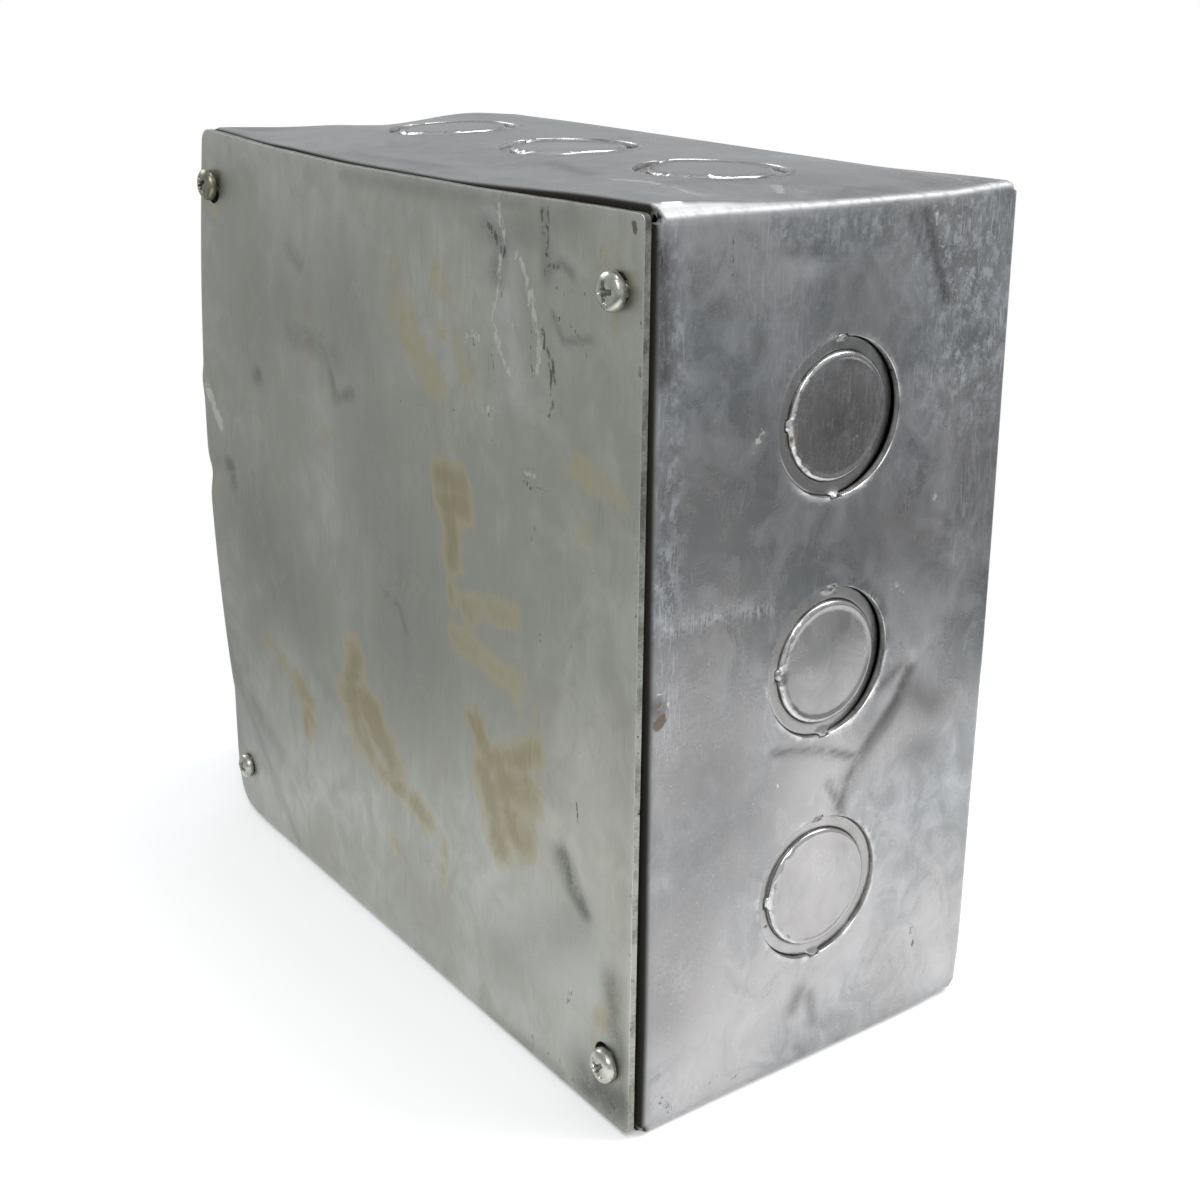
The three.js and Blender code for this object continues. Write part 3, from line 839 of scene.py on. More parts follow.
def fold_strip(flat, depth):
    """Bends the strip into the box. depth is how far below the outer face a point lies."""
    u, v = flat.T
    part = np.clip(np.floor(u / STEP), 0, 3).astype(int)
    ahead = u - part * STEP
    along = np.minimum(ahead, RUN) - RUN / 2
    corner = np.clip((ahead - RUN) / BEND, 0, math.pi / 2)
    front = np.clip(-v, 0, TURN) / BEND
    rear = np.clip(v - TUBE, 0, TURN) / BEND
    leg = np.clip(-v - TURN, 0, None) + np.clip(v - TUBE - TURN, 0, None)
    back = np.clip(v, 0, TUBE) - TUBE / 2
    inward = BEND * (2 - np.cos(front) - np.cos(rear)) + leg + depth * np.cos(front) * np.cos(rear)
    level = back - (BEND - depth) * np.sin(front) + (BEND - depth) * np.sin(rear)
    ripple = 0.28 * waves(u, v * 0.3, 45, 71) * ease(leg, 0, 6)
    burr = np.zeros(len(u))
    for place in knockout_places():
        far = np.hypot(along - place, back)
        low = 0.3 + 0.7 * ease(along - place + back, -8, 14)
        burr = np.maximum(burr, 0.28 * low * bump_at(far - RING_HOLE - 0.3, 0.32))
    result = np.zeros((len(u), 3))
    for n in range(4):
        here = part == n
        out = swell(WALLS[STRIP[n]], along[here], back[here]) - inward[here] + burr[here]
        turned = along[here] + (BEND + out) * np.sin(corner[here])
        away = -BEND * (1 - np.cos(corner[here])) + out * np.cos(corner[here])
        result[here] = on_wall(STRIP[n], turned, level[here] + ripple[here], away)
    return knock(result)


# Dark marks here are partly dirt and partly painted shade along dents and creases, such as the wrinkle
# beside a knockout; pale marks low on the right wall are partly a painted reflection of the floor.
RIGHT_MARKS = {
    "scuff": [
        ([(-96, 30), (-80, 40), (-62, 38)], 17, 1.0),
        ([(-97, -20), (-96, 20)], 6, 0.7),
        ([(-60, 44), (-20, 40)], 9, 0.45),
        ([(-96, -45), (-60, -45), (-20, -46)], 4, 0.75),
        ([(-90, -25), (-70, -10), (-45, 22)], 14, 0.35),
        ([(-30, -44), (10, -45)], 4, 0.4),
        ([(90, -44), (97, -40)], 5, 0.35),
        ([(-26, -49), (-30, -44)], 1.6, 1.0),
        ([(-18, -49), (-17, -36), (-17, -24), (-16, -18)], 1.6, 0.9),
    ],
    "dark": [
        ([(-98, 22), (-78, 30)], 1.5, 0.95),
        ([(-97, 18), (-88, 23)], 1.2, 0.7),
        ([(-95, -48), (-70, -47)], 2.4, 0.8),
        ([(-66, -2), (-50, 2)], 20, 0.32),
        ([(-54, 1)], 13, 0.75),
        ([(-40, 42), (-20, 44)], 7, 0.3),
        ([(-30, 10), (-12, 30)], 11, 0.35),
        ([(8, 26), (15, 22), (20, 16), (25, 12), (31, 8), (38, 6)], 1.7, 0.85),
        ([(20, 16), (31, 8)], 3.4, 0.4),
        ([(26, 11), (21, -1), (18, -15)], 1.1, 0.75),
        ([(10, 16), (6, 25)], 1.6, 0.7),
        ([(30, 2), (37, 6)], 1.1, 0.7),
        ([(14, 28), (19, 34)], 4.0, 0.5),
        ([(29, 28), (30, 33)], 3.5, 0.4),
        ([(-1, -47)], 2.4, 0.95),
        ([(82, -4), (86, -6)], 2.2, 0.55),
        ([(84, -1), (92, 1)], 1.8, 0.5),
        ([(97, -4), (99.5, -2)], 1.4, 0.5),
        ([(20, -30), (45, -34), (70, -44)], 13, 0.42),
    ],
    "pale": [
        ([(30, 2), (48, -4)], 12, 0.5),
        ([(60, 0), (84, -20)], 17, 0.45),
        ([(80, 36), (92, 44)], 14, 0.45),
        ([(70, 14), (95, 20)], 16, 0.25),
        ([(60, -36), (92, -32)], 14, 0.5),
        ([(-96, -36), (-88, -20)], 9, 0.4),
        ([(-60, 33), (-30, 33)], 2.6, 0.4),
    ],
    "gouge": [
        ([(-33, 30)], 2.4, 0.55),
        ([(-55, -22)], 1.8, 0.5),
        ([(27, -13)], 1.6, 0.6),
        ([(-97, 2), (-92, 14)], 3.0, 0.35),
        ([(-98, 25), (-78, 33)], 1.5, 0.55),
        ([(-84, 36), (-78, 38), (-73, 33)], 1.2, 0.5),
        ([(-56, -21), (-53, -23)], 1.4, 0.62),
        ([(-14, 20), (-12, 24)], 1.6, 0.5),
        ([(-53, 6), (-47, 5)], 2.0, 0.42),
        ([(-4, -47), (-3, -45), (0, -44), (2, -45)], 0.9, 0.6),
        ([(-66, -10), (-60, -13), (-56, -14)], 1.0, 0.6),
    ],
    "fleck": [
        ([(77, 32), (83, 33)], 1.0, 0.75),
        ([(96, -21), (98.5, -25)], 0.8, 0.7),
        ([(95, -28), (97, -33)], 0.8, 0.6),
        ([(28, 23), (29, 22)], 0.7, 0.65),
        ([(36, 16), (38, 15)], 0.7, 0.65),
        ([(42, 12), (43, 11)], 0.7, 0.6),
        ([(-96, -31), (-86, -30)], 0.9, 0.6),
        ([(-96, -49), (-92, -48)], 2.4, 0.6),
        ([(94, -45), (97, -42)], 3.5, 0.55),
        ([(78, -46), (80, -46)], 1.4, 0.55),
        ([(64, -46), (66, -46)], 0.9, 0.7),
        ([(96, -37), (94, -33)], 1.0, 0.6),
        ([(84, -44), (90, -44)], 2.0, 0.45),
        ([(-50, -42), (-48, -41)], 1.2, 0.45),
        ([(-5, 8), (-1, 12)], 2.2, 0.38),
        ([(95, 2), (97, 8)], 2.0, 0.4),
    ],
    "rust": [
        ([(2, -46), (3, -47)], 1.7, 1.0),
        ([(-1, -47)], 1.5, 0.62),
        ([(-55, -13), (-52, -14)], 1.5, 0.85),
        ([(-55, -23)], 1.4, 0.5),
        ([(62, -14)], 0.9, 0.7),
    ],
}
TOP_MARKS = {
    "scuff": [
        ([(40, 40), (96, 44)], 9, 0.9),
        ([(68, -24), (90, -28)], 5, 0.9),
        ([(84, 0), (97, -6)], 4, 0.7),
        ([(-20, -10), (40, -14)], 14, 0.2),
    ],
    "dark": [
        ([(22, -20), (46, -26)], 2.5, 0.5),
        ([(-12, 26)], 3, 0.4),
        ([(-30, -42), (10, -40)], 2.5, 0.35),
    ],
    "pale": [([(-70, -10), (60, -6)], 40, 0.35)],
    "gouge": [
        ([(57, -28), (64, -26), (70, -25)], 1.9, 0.78),
        ([(76, -26), (90, -29)], 2.2, 0.68),
        ([(82, -3), (90, -9)], 2.2, 0.75),
        ([(74, 8), (78, 2)], 1.6, 0.6),
        ([(60, -19), (63, -12)], 1.2, 0.6),
    ],
    "fleck": [([(60, -20), (76, -18)], 2.5, 0.35), ([(88, 2), (96, 4)], 2.5, 0.35)],
    "rust": [([(-20, -36)], 1.5, 0.7)],
}
HIDDEN_MARKS = {"dark": [([(-60, 20), (40, -20)], 9, 0.3)], "scuff": [([(20, 10), (80, 30)], 16, 0.5)]}
WALL_MARKS = [TOP_MARKS, RIGHT_MARKS, HIDDEN_MARKS, HIDDEN_MARKS]


def paint_strip(flat, outer, inner):
    """Where the wrapper is scuffed, dirty, worn or rusty, and where shade and highlights are painted on it.
    """
    u, v = flat.T
    part = np.clip(np.floor(u / STEP), 0, 3).astype(int)
    ahead = u - part * STEP
    along = ahead - RUN / 2
    back = v - TUBE / 2
    masks = {}
    for key in SHEET_MARKS:
        values = np.zeros(len(u))
        for n in range(4):
            here = part == n
            values[here] = marks_at(along[here], back[here], WALL_MARKS[STRIP[n]].get(key, []))
        masks[key] = both_faces(values, 0.3)
    wear = 0.3 * bump_at(ahead - RUN - TURN * 0.45, 1.1)
    wear = np.maximum(wear, 0.3 * bump_at(ahead + TURN * 0.55, 1.1))
    wear = np.maximum(wear, 0.5 * bump_at(v - TUBE - TURN * 0.5, 0.8))
    near_hole = np.zeros(len(u))
    for place in knockout_places():
        far = np.hypot(along - place, back)
        near_hole = np.maximum(near_hole, 1 - ease(far, RING_HOLE + 0.5, RING_HOLE + 1.5))
        chips = 0.5 + 0.5 * waves(along, back, 5, 91 + int(place))
        # Painted highlight: the lip is brighter towards the side that catches the light, lower and further
        # back on the right wall.
        low = 0.45 + 0.55 * ease(along - place + back, -8, 14)
        lip = ease(RING_HOLE + 0.9 - far, 0, 0.5) * ease(far, RING_HOLE - 1, RING_HOLE)
        wear = np.maximum(wear, 0.9 * lip * chips * low)
    masks["wear"] = both_faces(wear)
    bent = ease(ahead, RUN - 2, RUN) + ease(-ahead, -2, 0)
    masks["dull"] = np.concatenate([np.clip(bent, 0, 1), np.ones(len(u))])
    # Painted shade: the front bend and flange, in the gap behind the cover, go near black.
    grime = ease(-v, -0.1 * TURN, 0.5 * TURN) * (1 - 0.75 * ease(-v, TURN + 3, TURN + 8))
    # Painted shade in the open notch at each front corner.
    notch = ease(ahead, RUN - 0.5, RUN + 0.3) * ease(1.2 - v, 0, 1.2)
    # Painted shade on the inner face: near black at the knockout holes, and a little everywhere inside the
    # box.
    inside_shade = np.maximum(np.maximum(0.97 * near_hole, notch), 0.3)
    masks["grime"] = np.concatenate([np.maximum(grime, notch), inside_shade])
    return masks


# ---------------------------------------------------------------- knockouts

def ring_blank():
    outline = tied_ring(RING_HOLE - CLEAR, TIE_REACH, TIE, (0, math.pi))
    hole = tied_ring(SLUG_HOLE, TIE_REACH, TIE + TIE_PLAY, (1.5 * math.pi,), 108)
    grid = [p for radius in (15.2, 15.9, 16.6) for p in ring_of(radius, 96)]
    return Blank(outline, [hole], grid, (0.05, 0.16, 0.34), 0.2)


def slug_blank():
    outline = tied_ring(SLUG_HOLE - CLEAR, TIE_REACH, TIE, (1.5 * math.pi,), 108)
    grid = [(x, y) for x in span(-14, 14, 0.9) for y in span(-14, 14, 0.9)]
    return Blank(outline, [], grid, (0.06, 0.18, 0.36, 0.6, 0.9, 1.2, 1.5, 1.9, 2.4), 0.3)


# How knockouts lean, in degrees: the ring about the wall's length and its depth, then the slug likewise.
LEANS = {
    "right_1": (-4.2, -0.6, -2.2, -1.6),
    "right_2": (-3.2, 0.2, -1.4, 0.3),
    "right_3": (1.2, 0.1, 0.4, 0.6),
    "top_1": (0.8, 0.2, 0.8, 0.3),
    "top_2": (-0.5, 0.4, -0.5, 0.7),
    "top_3": (0.6, -0.5, 0.6, -0.5),
}


def place_knockout(n, along, lean, kind):
    """How a ring or slug is put into its wall: its own flat points and depth to row frame points."""
    angles = lean[:2] if kind == "ring" else lean[2:]
    slope_x, slope_y = (math.tan(math.radians(angle)) for angle in angles)

    def place(flat, depth):
        x, y = flat.T
        far = np.hypot(x, y)
        if kind == "ring":
            tie = ease(far, 16.2, 17.4) * ease(TIE + 0.9 - np.abs(y), 0, 0.9)
            drop = (RING_RECESS + 0.25) * (1 - 0.92 * tie)
            lift = slope_x * y + slope_y * x * (1 - tie)
        else:
            tie = ease(-y, 12.6, 14.3) * ease(TIE + 0.9 - np.abs(x), 0, 0.9)
            drop = SLUG_RECESS + 0.55 * tie
            lift = slope_x * y + slope_y * x + 0.12 * (1 - (far / SLUG_HOLE) ** 2)
            bead = bump_at(far - 13.3, 0.55)
            lift = lift + bead * (0.26 + 0.16 * waves(x, y, 1.9, n * 7 + int(along) + 3) * ease(-y, 0, 9))
            lift = lift + 0.05 * waves(x, y, 14, n * 7 + int(along))
        lift = np.clip(lift, -1.6, 0.6) + swell(WALLS[n], along + x, y)
        return knock(on_wall(n, along + x, y, lift - drop - depth))

    return place


def paint_knockout(n, along, kind):
    def paint(flat, outer, inner):
        x, y = flat.T
        masks = {}
        for key in SHEET_MARKS:
            masks[key] = both_faces(marks_at(along + x, y, WALL_MARKS[n].get(key, [])), 0.3)
        far = np.hypot(x, y)
        if kind == "ring":
            wear = 0.3 * ease(far, 16.7, 17.2)
            # Painted shade at the ring's inner edge, in the gap beside the slug.
            grime = 0.2 * (1 - ease(far, 14.4, 15.2))
        else:
            # Painted highlight: the slug's rounded rim is brighter on its front side, which catches the
            # light, and is partly rubbed bright.
            wear = 0.85 * ease(far, 13.2, 13.8) * (0.35 + 0.65 * ease(-y, -4, 10))
            grime = np.zeros(len(x))
        masks["wear"] = both_faces(wear)
        # Painted shade on the cut edges, darker deeper into the wall.
        deep = ease(far, 15.5, 16.5) if kind == "ring" else 0.15 * ease(far, 13, 14)
        masks["grime"] = np.concatenate([grime, 0.95 * deep])
        return masks

    return paint


def make_knockouts(ring, slug, looks, cut):
    for n, wall in enumerate(WALLS):
        for k, along in enumerate(knockout_places(), 1):
            lean = LEANS.get(f"{wall}_{k}", (0.3, -0.2, 0.4, 0.2))
            for kind, blank, rounding in (("ring", ring, 0.3), ("slug", slug, 0.6)):
                node = f"{wall}_knockout_{k}_{kind}"
                place = place_knockout(n, along, lean, kind)
                paint = paint_knockout(n, along, kind)
                piece = solid_sheet(f"{node}_look", blank, place, rounding, [looks[kind], cut], paint)
                ride_as(piece, node, node)


def ride_as(piece, body, node):
    """The piece moves with a body and stands in for a CAD node, which is hidden."""
    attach(piece, body)
    if node:
        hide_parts(node)


# ---------------------------------------------------------------- the cover

COVER_TURN = math.radians(0.1)  # it was put on a little crooked
COVER_DENTS = [
    ([(72, -41), (76, -46), (83, -55)], 4.2, -1.15),
    ([(39, 68)], 1.8, -0.5),
    ([(45, 53)], 1.4, -0.4),
    ([(50, 58)], 1.1, -0.25),
    ([(58, 39), (62, 42), (66, 41)], 1.3, -0.4),
    ([(9, 56)], 0.9, -0.25),
    ([(-104, 4), (-88, 9)], 4.0, -0.9),
    ([(-100, 33), (-95, 26), (-89, 20)], 3.0, 0.5),
    ([(-6, -4), (2, -6), (6, -12)], 3.2, -0.35),
    ([(-30, 48), (-28, 41)], 2.2, -0.25),
    ([(49, 89), (49, 80), (47, 75), (50, 67), (53, 64)], 1.5, -0.22),
    ([(50, 96), (56, 89), (61, 82), (64, 70), (64, 65)], 1.7, -0.25),
]
# Dark marks on the cover are partly dirt and partly painted shade in its dents; the pale band along its
# bottom is partly a painted reflection of the floor.
COVER_MARKS = {
    "stain": [
        ([(4, 76), (9, 66), (22, 54)], 9.5, 0.5),
        ([(24, 80), (28, 70)], 8.0, 0.5),
        ([(31, 75), (35, 60)], 7.0, 0.48),
        ([(24, 33), (33, 33)], 5.5, 0.95),
        ([(26, 27), (33, 28)], 6.5, 0.9),
        ([(28, 23), (28, 14)], 5.0, 0.95),
        ([(28, 5), (36, 3), (44, 6), (54, 7)], 5.0, 0.72),
        ([(30, -5), (44, -7), (56, -9)], 6.0, 0.62),
        ([(79, 48), (89, 46), (94, 44)], 7.0, 0.5),
        ([(80, 40), (84, 32)], 6.0, 0.4),
        ([(-23, -28), (-25, -40), (-20, -49)], 7.0, 1.0),
        ([(-18, -38), (-11, -44), (-3, -52)], 7.0, 1.0),
        ([(-18, -50), (-8, -56), (6, -57), (15, -60)], 4.5, 0.95),
        ([(37, -24), (44, -31)], 4.5, 1.0),
        ([(46, -31), (56, -27), (64, -22)], 5.0, 0.9),
        ([(42, -36), (46, -44), (49, -52)], 6.5, 1.0),
        ([(50, -34), (60, -34)], 8.0, 0.95),
        ([(54, -43), (58, -45)], 8.0, 0.95),
        ([(52, -10), (60, -12)], 6.0, 0.5),
        ([(-74, -39), (-59, -47)], 4.4, 0.55),
        ([(-56, -47), (-50, -52), (-52, -58)], 5.5, 0.85),
        ([(23, -62), (22, -73)], 3.4, 0.75),
        ([(-7, -72), (-2, -75)], 3.0, 0.6),
        ([(93, 95), (88, 92)], 3.5, 0.4),
        ([(96, 88), (90, 76)], 3.5, 0.45),
        ([(90, -78), (95, -70)], 5.0, 0.5),
        ([(-42, 60), (-38, 30)], 12, 0.35),
        ([(-100, 70), (-98, -30)], 6, 0.35),
    ],
    "dark": [
        ([(-50, 76), (-45, 73)], 4.0, 0.5),
        ([(-51, 54), (-36, 54), (-27, 52)], 5.0, 0.5),
        ([(-30, 48), (-28, 41), (-19, 44)], 2.0, 0.6),
        ([(-71, 39)], 2.6, 0.75),
        ([(-104, 31)], 3.5, 0.7),
        ([(-102, 3)], 3.6, 0.6),
        ([(-89, 9), (-87, 5)], 3.4, 0.75),
        ([(-76, 10)], 1.6, 0.5),
        ([(46, 92), (58, 93), (77, 98)], 4.5, 0.3),
        ([(45, 93), (51, 90), (49, 84)], 3.6, 0.6),
        ([(-6, -4), (2, -6), (5, -12)], 1.8, 0.55),
        ([(74, -44), (78, -50), (82, -54)], 3.0, 0.85),
        ([(43, -102), (59, -101), (75, -101)], 3.0, 0.6),
        ([(-98, -60), (-60, -100)], 2.0, 0.3),
        ([(86, -96), (99, -94)], 7.0, 0.9),
        ([(94, -66), (97, -84)], 4.0, 0.7),
        ([(-60, 60), (-20, 66)], 18, 0.25),
        ([(-80, 0), (-60, -20)], 20, 0.3),
        ([(-10, 20), (10, -20)], 22, 0.3),
        ([(50, -80), (78, -60)], 9, 0.35),
        ([(67, 98), (68, 86)], 2.6, 0.45),
        ([(67, 86), (73, 89), (77, 87)], 1.2, 0.55),
        ([(70, 78), (74, 73), (84, 75)], 1.0, 0.5),
        ([(-20, 98), (60, 99)], 2.0, 0.3),
        ([(-88, -64), (-70, -74)], 4, 0.35),
        ([(-104, -45), (-96, -60)], 3, 0.3),
    ],
    "pale": [
        ([(-98, -81), (-60, -82), (-20, -68), (40, -66), (80, -70)], 17, 0.7),
        ([(-40, -92), (40, -92), (90, -88)], 14, 0.5),
        ([(36, -49), (66, -77)], 9, 0.7),
        ([(-95, 70), (-92, -40)], 9, 0.4),
        ([(47, 96), (52, 84)], 4.5, 0.8),
        ([(53, 88), (55, 60)], 4.5, 0.7),
        ([(-30, 20), (-28, 10)], 12, 0.4),
    ],
    "gouge": [
        ([(49, 100), (50, 96), (52, 91)], 2.0, 0.62),
        ([(50, 89), (50, 85), (49, 80), (47, 75)], 1.5, 0.72),
        ([(47, 75), (48, 71), (50, 67), (54, 62)], 1.4, 0.72),
        ([(56, 89), (59, 86), (61, 82)], 1.4, 0.72),
        ([(61, 82), (63, 76), (65, 70), (64, 65)], 1.9, 0.78),
        ([(52, 80), (56, 72)], 1.2, 0.5),
        ([(36, 67), (39, 69), (42, 68)], 1.8, 0.7),
        ([(43, 52), (46, 54), (47, 53)], 1.5, 0.6),
        ([(60, 42), (63, 42)], 1.3, 0.72),
        ([(-98, 31), (-94, 26), (-91, 21)], 2.4, 0.9),
        ([(99.5, 96), (100, 40)], 0.9, 0.42),
        ([(23, 99), (32, 99)], 1.2, 0.45),
    ],
    "fleck": [
        ([(66, 99), (67, 94)], 0.9, 0.72),
        ([(68, 99), (68, 94), (68, 90)], 1.0, 0.75),
        ([(67, 86), (69, 88), (73, 88)], 0.9, 0.6),
        ([(66, 75), (67, 71), (70, 68), (71, 64)], 1.2, 0.66),
        ([(69, 68), (70, 60), (69, 56)], 1.1, 0.62),
        ([(70, 78), (78, 76), (83, 71)], 0.9, 0.55),
        ([(71, 84), (73, 83), (83, 84)], 0.8, 0.5),
        ([(46, 93), (50, 90), (52, 88)], 1.8, 0.66),
        ([(48, 85), (51, 80)], 2.0, 0.5),
        ([(46, 70), (48, 60)], 1.2, 0.5),
        ([(62, 74), (62, 64)], 1.4, 0.5),
        ([(-16, 52), (6, 47), (41, 51)], 0.8, 0.42),
        ([(63, 31), (62, 27)], 0.9, 0.62),
        ([(65, 8), (66, 0)], 0.8, 0.55),
        ([(78, 8), (78, -2)], 0.8, 0.6),
        ([(80, -27), (81, -34)], 0.9, 0.6),
        ([(88, -31), (89, -40)], 0.8, 0.5),
        ([(78, -76), (77, -79)], 1.2, 0.7),
        ([(-31, 49), (-18, 49)], 0.7, 0.45),
        ([(100, 60), (100.5, 20)], 0.9, 0.5),
        ([(100, 90), (100.5, 80)], 0.9, 0.5),
        ([(100, -10), (100.5, -60)], 0.8, 0.42),
        ([(86, 92), (92, 88)], 4.0, 0.36),
        ([(60, -96), (80, -98)], 3.0, 0.36),
        ([(39, 67)], 1.6, 0.62),
        ([(45, 52)], 1.4, 0.6),
        ([(57, 40), (62, 39), (67, 40)], 1.0, 0.62),
        ([(88, -93), (96, -98)], 4.0, 0.45),
    ],
    "rust": [
        ([(97.5, 99), (98, 97.5)], 1.25, 1.0),
        ([(100, 72), (100, 71)], 1.2, 0.95),
        ([(98, 43)], 1.0, 0.75),
        ([(94, -99), (98, -92)], 6.0, 0.42),
    ],
}


def cover_lift(x, z):
    """How far the cover stands forward of its place, for points from its middle: bowed out at its left."""
    total = 0.15 + 0.62 * ease(x, -100, 100) * ease(-z, -100, 100)
    height = np.clip((z + 63.6) / 164, 0, 1)
    total += 3.9 * np.sin(math.pi * height) ** 0.8 * bump_at(np.clip(x + 101, 0, None), 27)
    total += 0.22 * waves(x, z, 75, 5) * ease(100 - np.abs(x), 0, 25) * ease(100 - np.abs(z), 0, 25)
    for line, width, out in COVER_DENTS:
        total += out * near_line(x, z, line, width)
    return total - 0.9 * bump_at(np.hypot(x + 100, z + 100), 9)


def cover_point(x, z, out):
    """Row frame points for places on the cover, out in front of its own front face."""
    level = COVER_LOW.y - cover_lift(x, z) - out
    turned_x = x * math.cos(COVER_TURN) + z * math.sin(COVER_TURN)
    turned_z = z * math.cos(COVER_TURN) - x * math.sin(COVER_TURN)
    sheared = (0.0155 * x - 0.9) * np.clip((z + HALF) / SIDE, 0, 1)
    risen = (between(x, *FRONT_RISE) + 0.5 * ease(-x, 50, 80)) * ease(z, 87, 99)
    return np.stack([turned_x, level, turned_z + HALF + sheared + risen], axis=1)


def place_cover(flat, depth):
    x, z = flat.T
    return cover_point(x, z, -depth)


def screw_places():
    """Name and place, from the cover's middle, of each cover screw."""
    return [
        ("top_left", -SCREW_X, SCREW_Z),
        ("top_right", SCREW_X, SCREW_Z),
        ("bottom_left", -SCREW_X, -SCREW_Z),
        ("bottom_right", SCREW_X, -SCREW_Z),
    ]


# Each corner of the cover: its side in x and z, the quarter turn it starts at, and its radius.
COVER_CORNERS = ((1, 1, 0, 1.6), (-1, 1, 1, 3.0), (-1, -1, 2, 6.0), (1, -1, 3, 2.2))


def cover_blank():
    half = (COVER_HIGH.x - COVER_LOW.x) / 2
    outline = []
    for sign_x, sign_z, start, radius in COVER_CORNERS:
        middle = ((half - radius) * sign_x, (half - radius) * sign_z)
        for n in range(9):
            angle = (start + n / 8) * math.pi / 2
            outline.append((middle[0] + radius * math.cos(angle), middle[1] + radius * math.sin(angle)))
    holes = []
    for name, x, z in screw_places():
        if name == "bottom_right":
            holes.append(ring_of(WORN_HOLE, 48, (x + WORN_HOLE_SHIFT[0], z + WORN_HOLE_SHIFT[1])))
        else:
            holes.append(ring_of(COVER_HOLE, 48, (x, z)))
    grid = [(x, z) for x in span(-100, 100, 1.02) for z in span(-100, 100, 1.02)]
    return Blank(refine(outline, 1.5), holes, grid, (0.06, 0.2, 0.5), 0.5)


def paint_cover(flat, outer, inner):
    x, z = flat.T
    masks = {}
    for key, marks in COVER_MARKS.items():
        masks[key] = both_faces(marks_at(x, z, marks), 0.2)
    for _, sx, sz in screw_places():
        halo = 0.36 * bump_at(np.hypot(x - sx, z - sz) - 5.0, 2.6)
        masks["stain"] = np.maximum(masks["stain"], both_faces(halo, 1.0))
    gap = np.minimum(100.9 - np.abs(x), 100.9 - np.abs(z))
    masks["wear"] = both_faces(0.22 * ease(0.9 - gap, 0, 0.8))
    # Painted shade on the cover's rim at its top right corner, where it meets the body.
    masks["grime"] = both_faces(0.75 * ease(5 - np.hypot(x - 101, z - 101), 0, 3), 1.0)
    return masks


# ---------------------------------------------------------------- turned pieces

THREAD_PITCH = 0.794  # 32 to the inch
TURNED_COUNT = 60  # points around a turned piece
CROWN_STEP = 0.17  # grid of a screw head's front


def threaded_rows(outer, start, stop):
    """Rows of a threaded shank from one y to another."""
    rows = []
    y = start
    while y < stop:
        rows.append((thread(outer), y))
        y += 0.1
    return rows


def turned_piece(name, x, z, rim, crown, rings, looks, paint=None, angle=0.0):
    """A turned piece along Y whose front is a fine field of heights.

    rim is the front's radius, crown(x, z) its y, and rings are the (radius, y) rows behind it.
    A radius is a number or a function of the angle and y, so that rows can be six-sided or threaded.
    """
    count = TURNED_COUNT
    edge = ring_of(rim, count)
    wide = max(math.hypot(*p) for p in edge)
    cells = int(wide / CROWN_STEP) + 1
    steps = [(n + 0.5) * CROWN_STEP for n in range(-cells, cells)]
    blank = Blank(edge, [], [(a, b) for a in steps for b in steps], (), CROWN_STEP * 0.6)
    front_x, front_z = blank.points.T
    front = np.stack([front_x, crown(front_x, front_z), front_z], axis=1)
    order = [int(np.argmin(np.hypot(front_x - px, front_z - pz))) for px, pz in edge]
    points = front.tolist()
    faces = blank.faces.tolist()
    last = order
    for radius, y in rings:
        here = []
        for n in range(count):
            turn = 2 * math.pi * n / count
            far = radius(turn, y) if callable(radius) else radius
            here.append(len(points))
            points.append((far * math.cos(turn), y, far * math.sin(turn)))
        faces += [(last[n], last[(n + 1) % count], here[(n + 1) % count], here[n]) for n in range(count)]
        last = here
    faces.append(last[::-1])
    points = np.array(points)
    masks = {"dark": paint(points)} if paint else {}
    cos, sin = math.cos(angle), math.sin(angle)
    turned = np.stack([
        x + points[:, 0] * cos - points[:, 2] * sin,
        points[:, 1],
        z + points[:, 0] * sin + points[:, 2] * cos,
    ], axis=1)
    return make_object(name, turned, faces, looks, None, masks, 50)


def thread(outer, deep=0.42):
    """Radius of a threaded shank at an angle and a y."""
    def radius(turn, y):
        share = (y / THREAD_PITCH + turn / (2 * math.pi)) % 1
        return outer - deep * (1 - abs(2 * share - 1))
    return radius


def recess(x, z, reach=2.35, deep=1.9):
    """Depth of a cross recess whose wings slope down to its middle, with slightly worn edges."""
    far = np.hypot(x, z)
    shape = ease(1.05 - far, -0.15, 0.15)
    for along, aside in ((np.abs(x), np.abs(z)), (np.abs(z), np.abs(x))):
        shape = np.maximum(shape, ease(0.46 - aside, -0.1, 0.08) * ease(reach - along, -0.1, 0.3))
    return shape * deep * (1 - 0.62 * np.clip(far / reach, 0, 1))


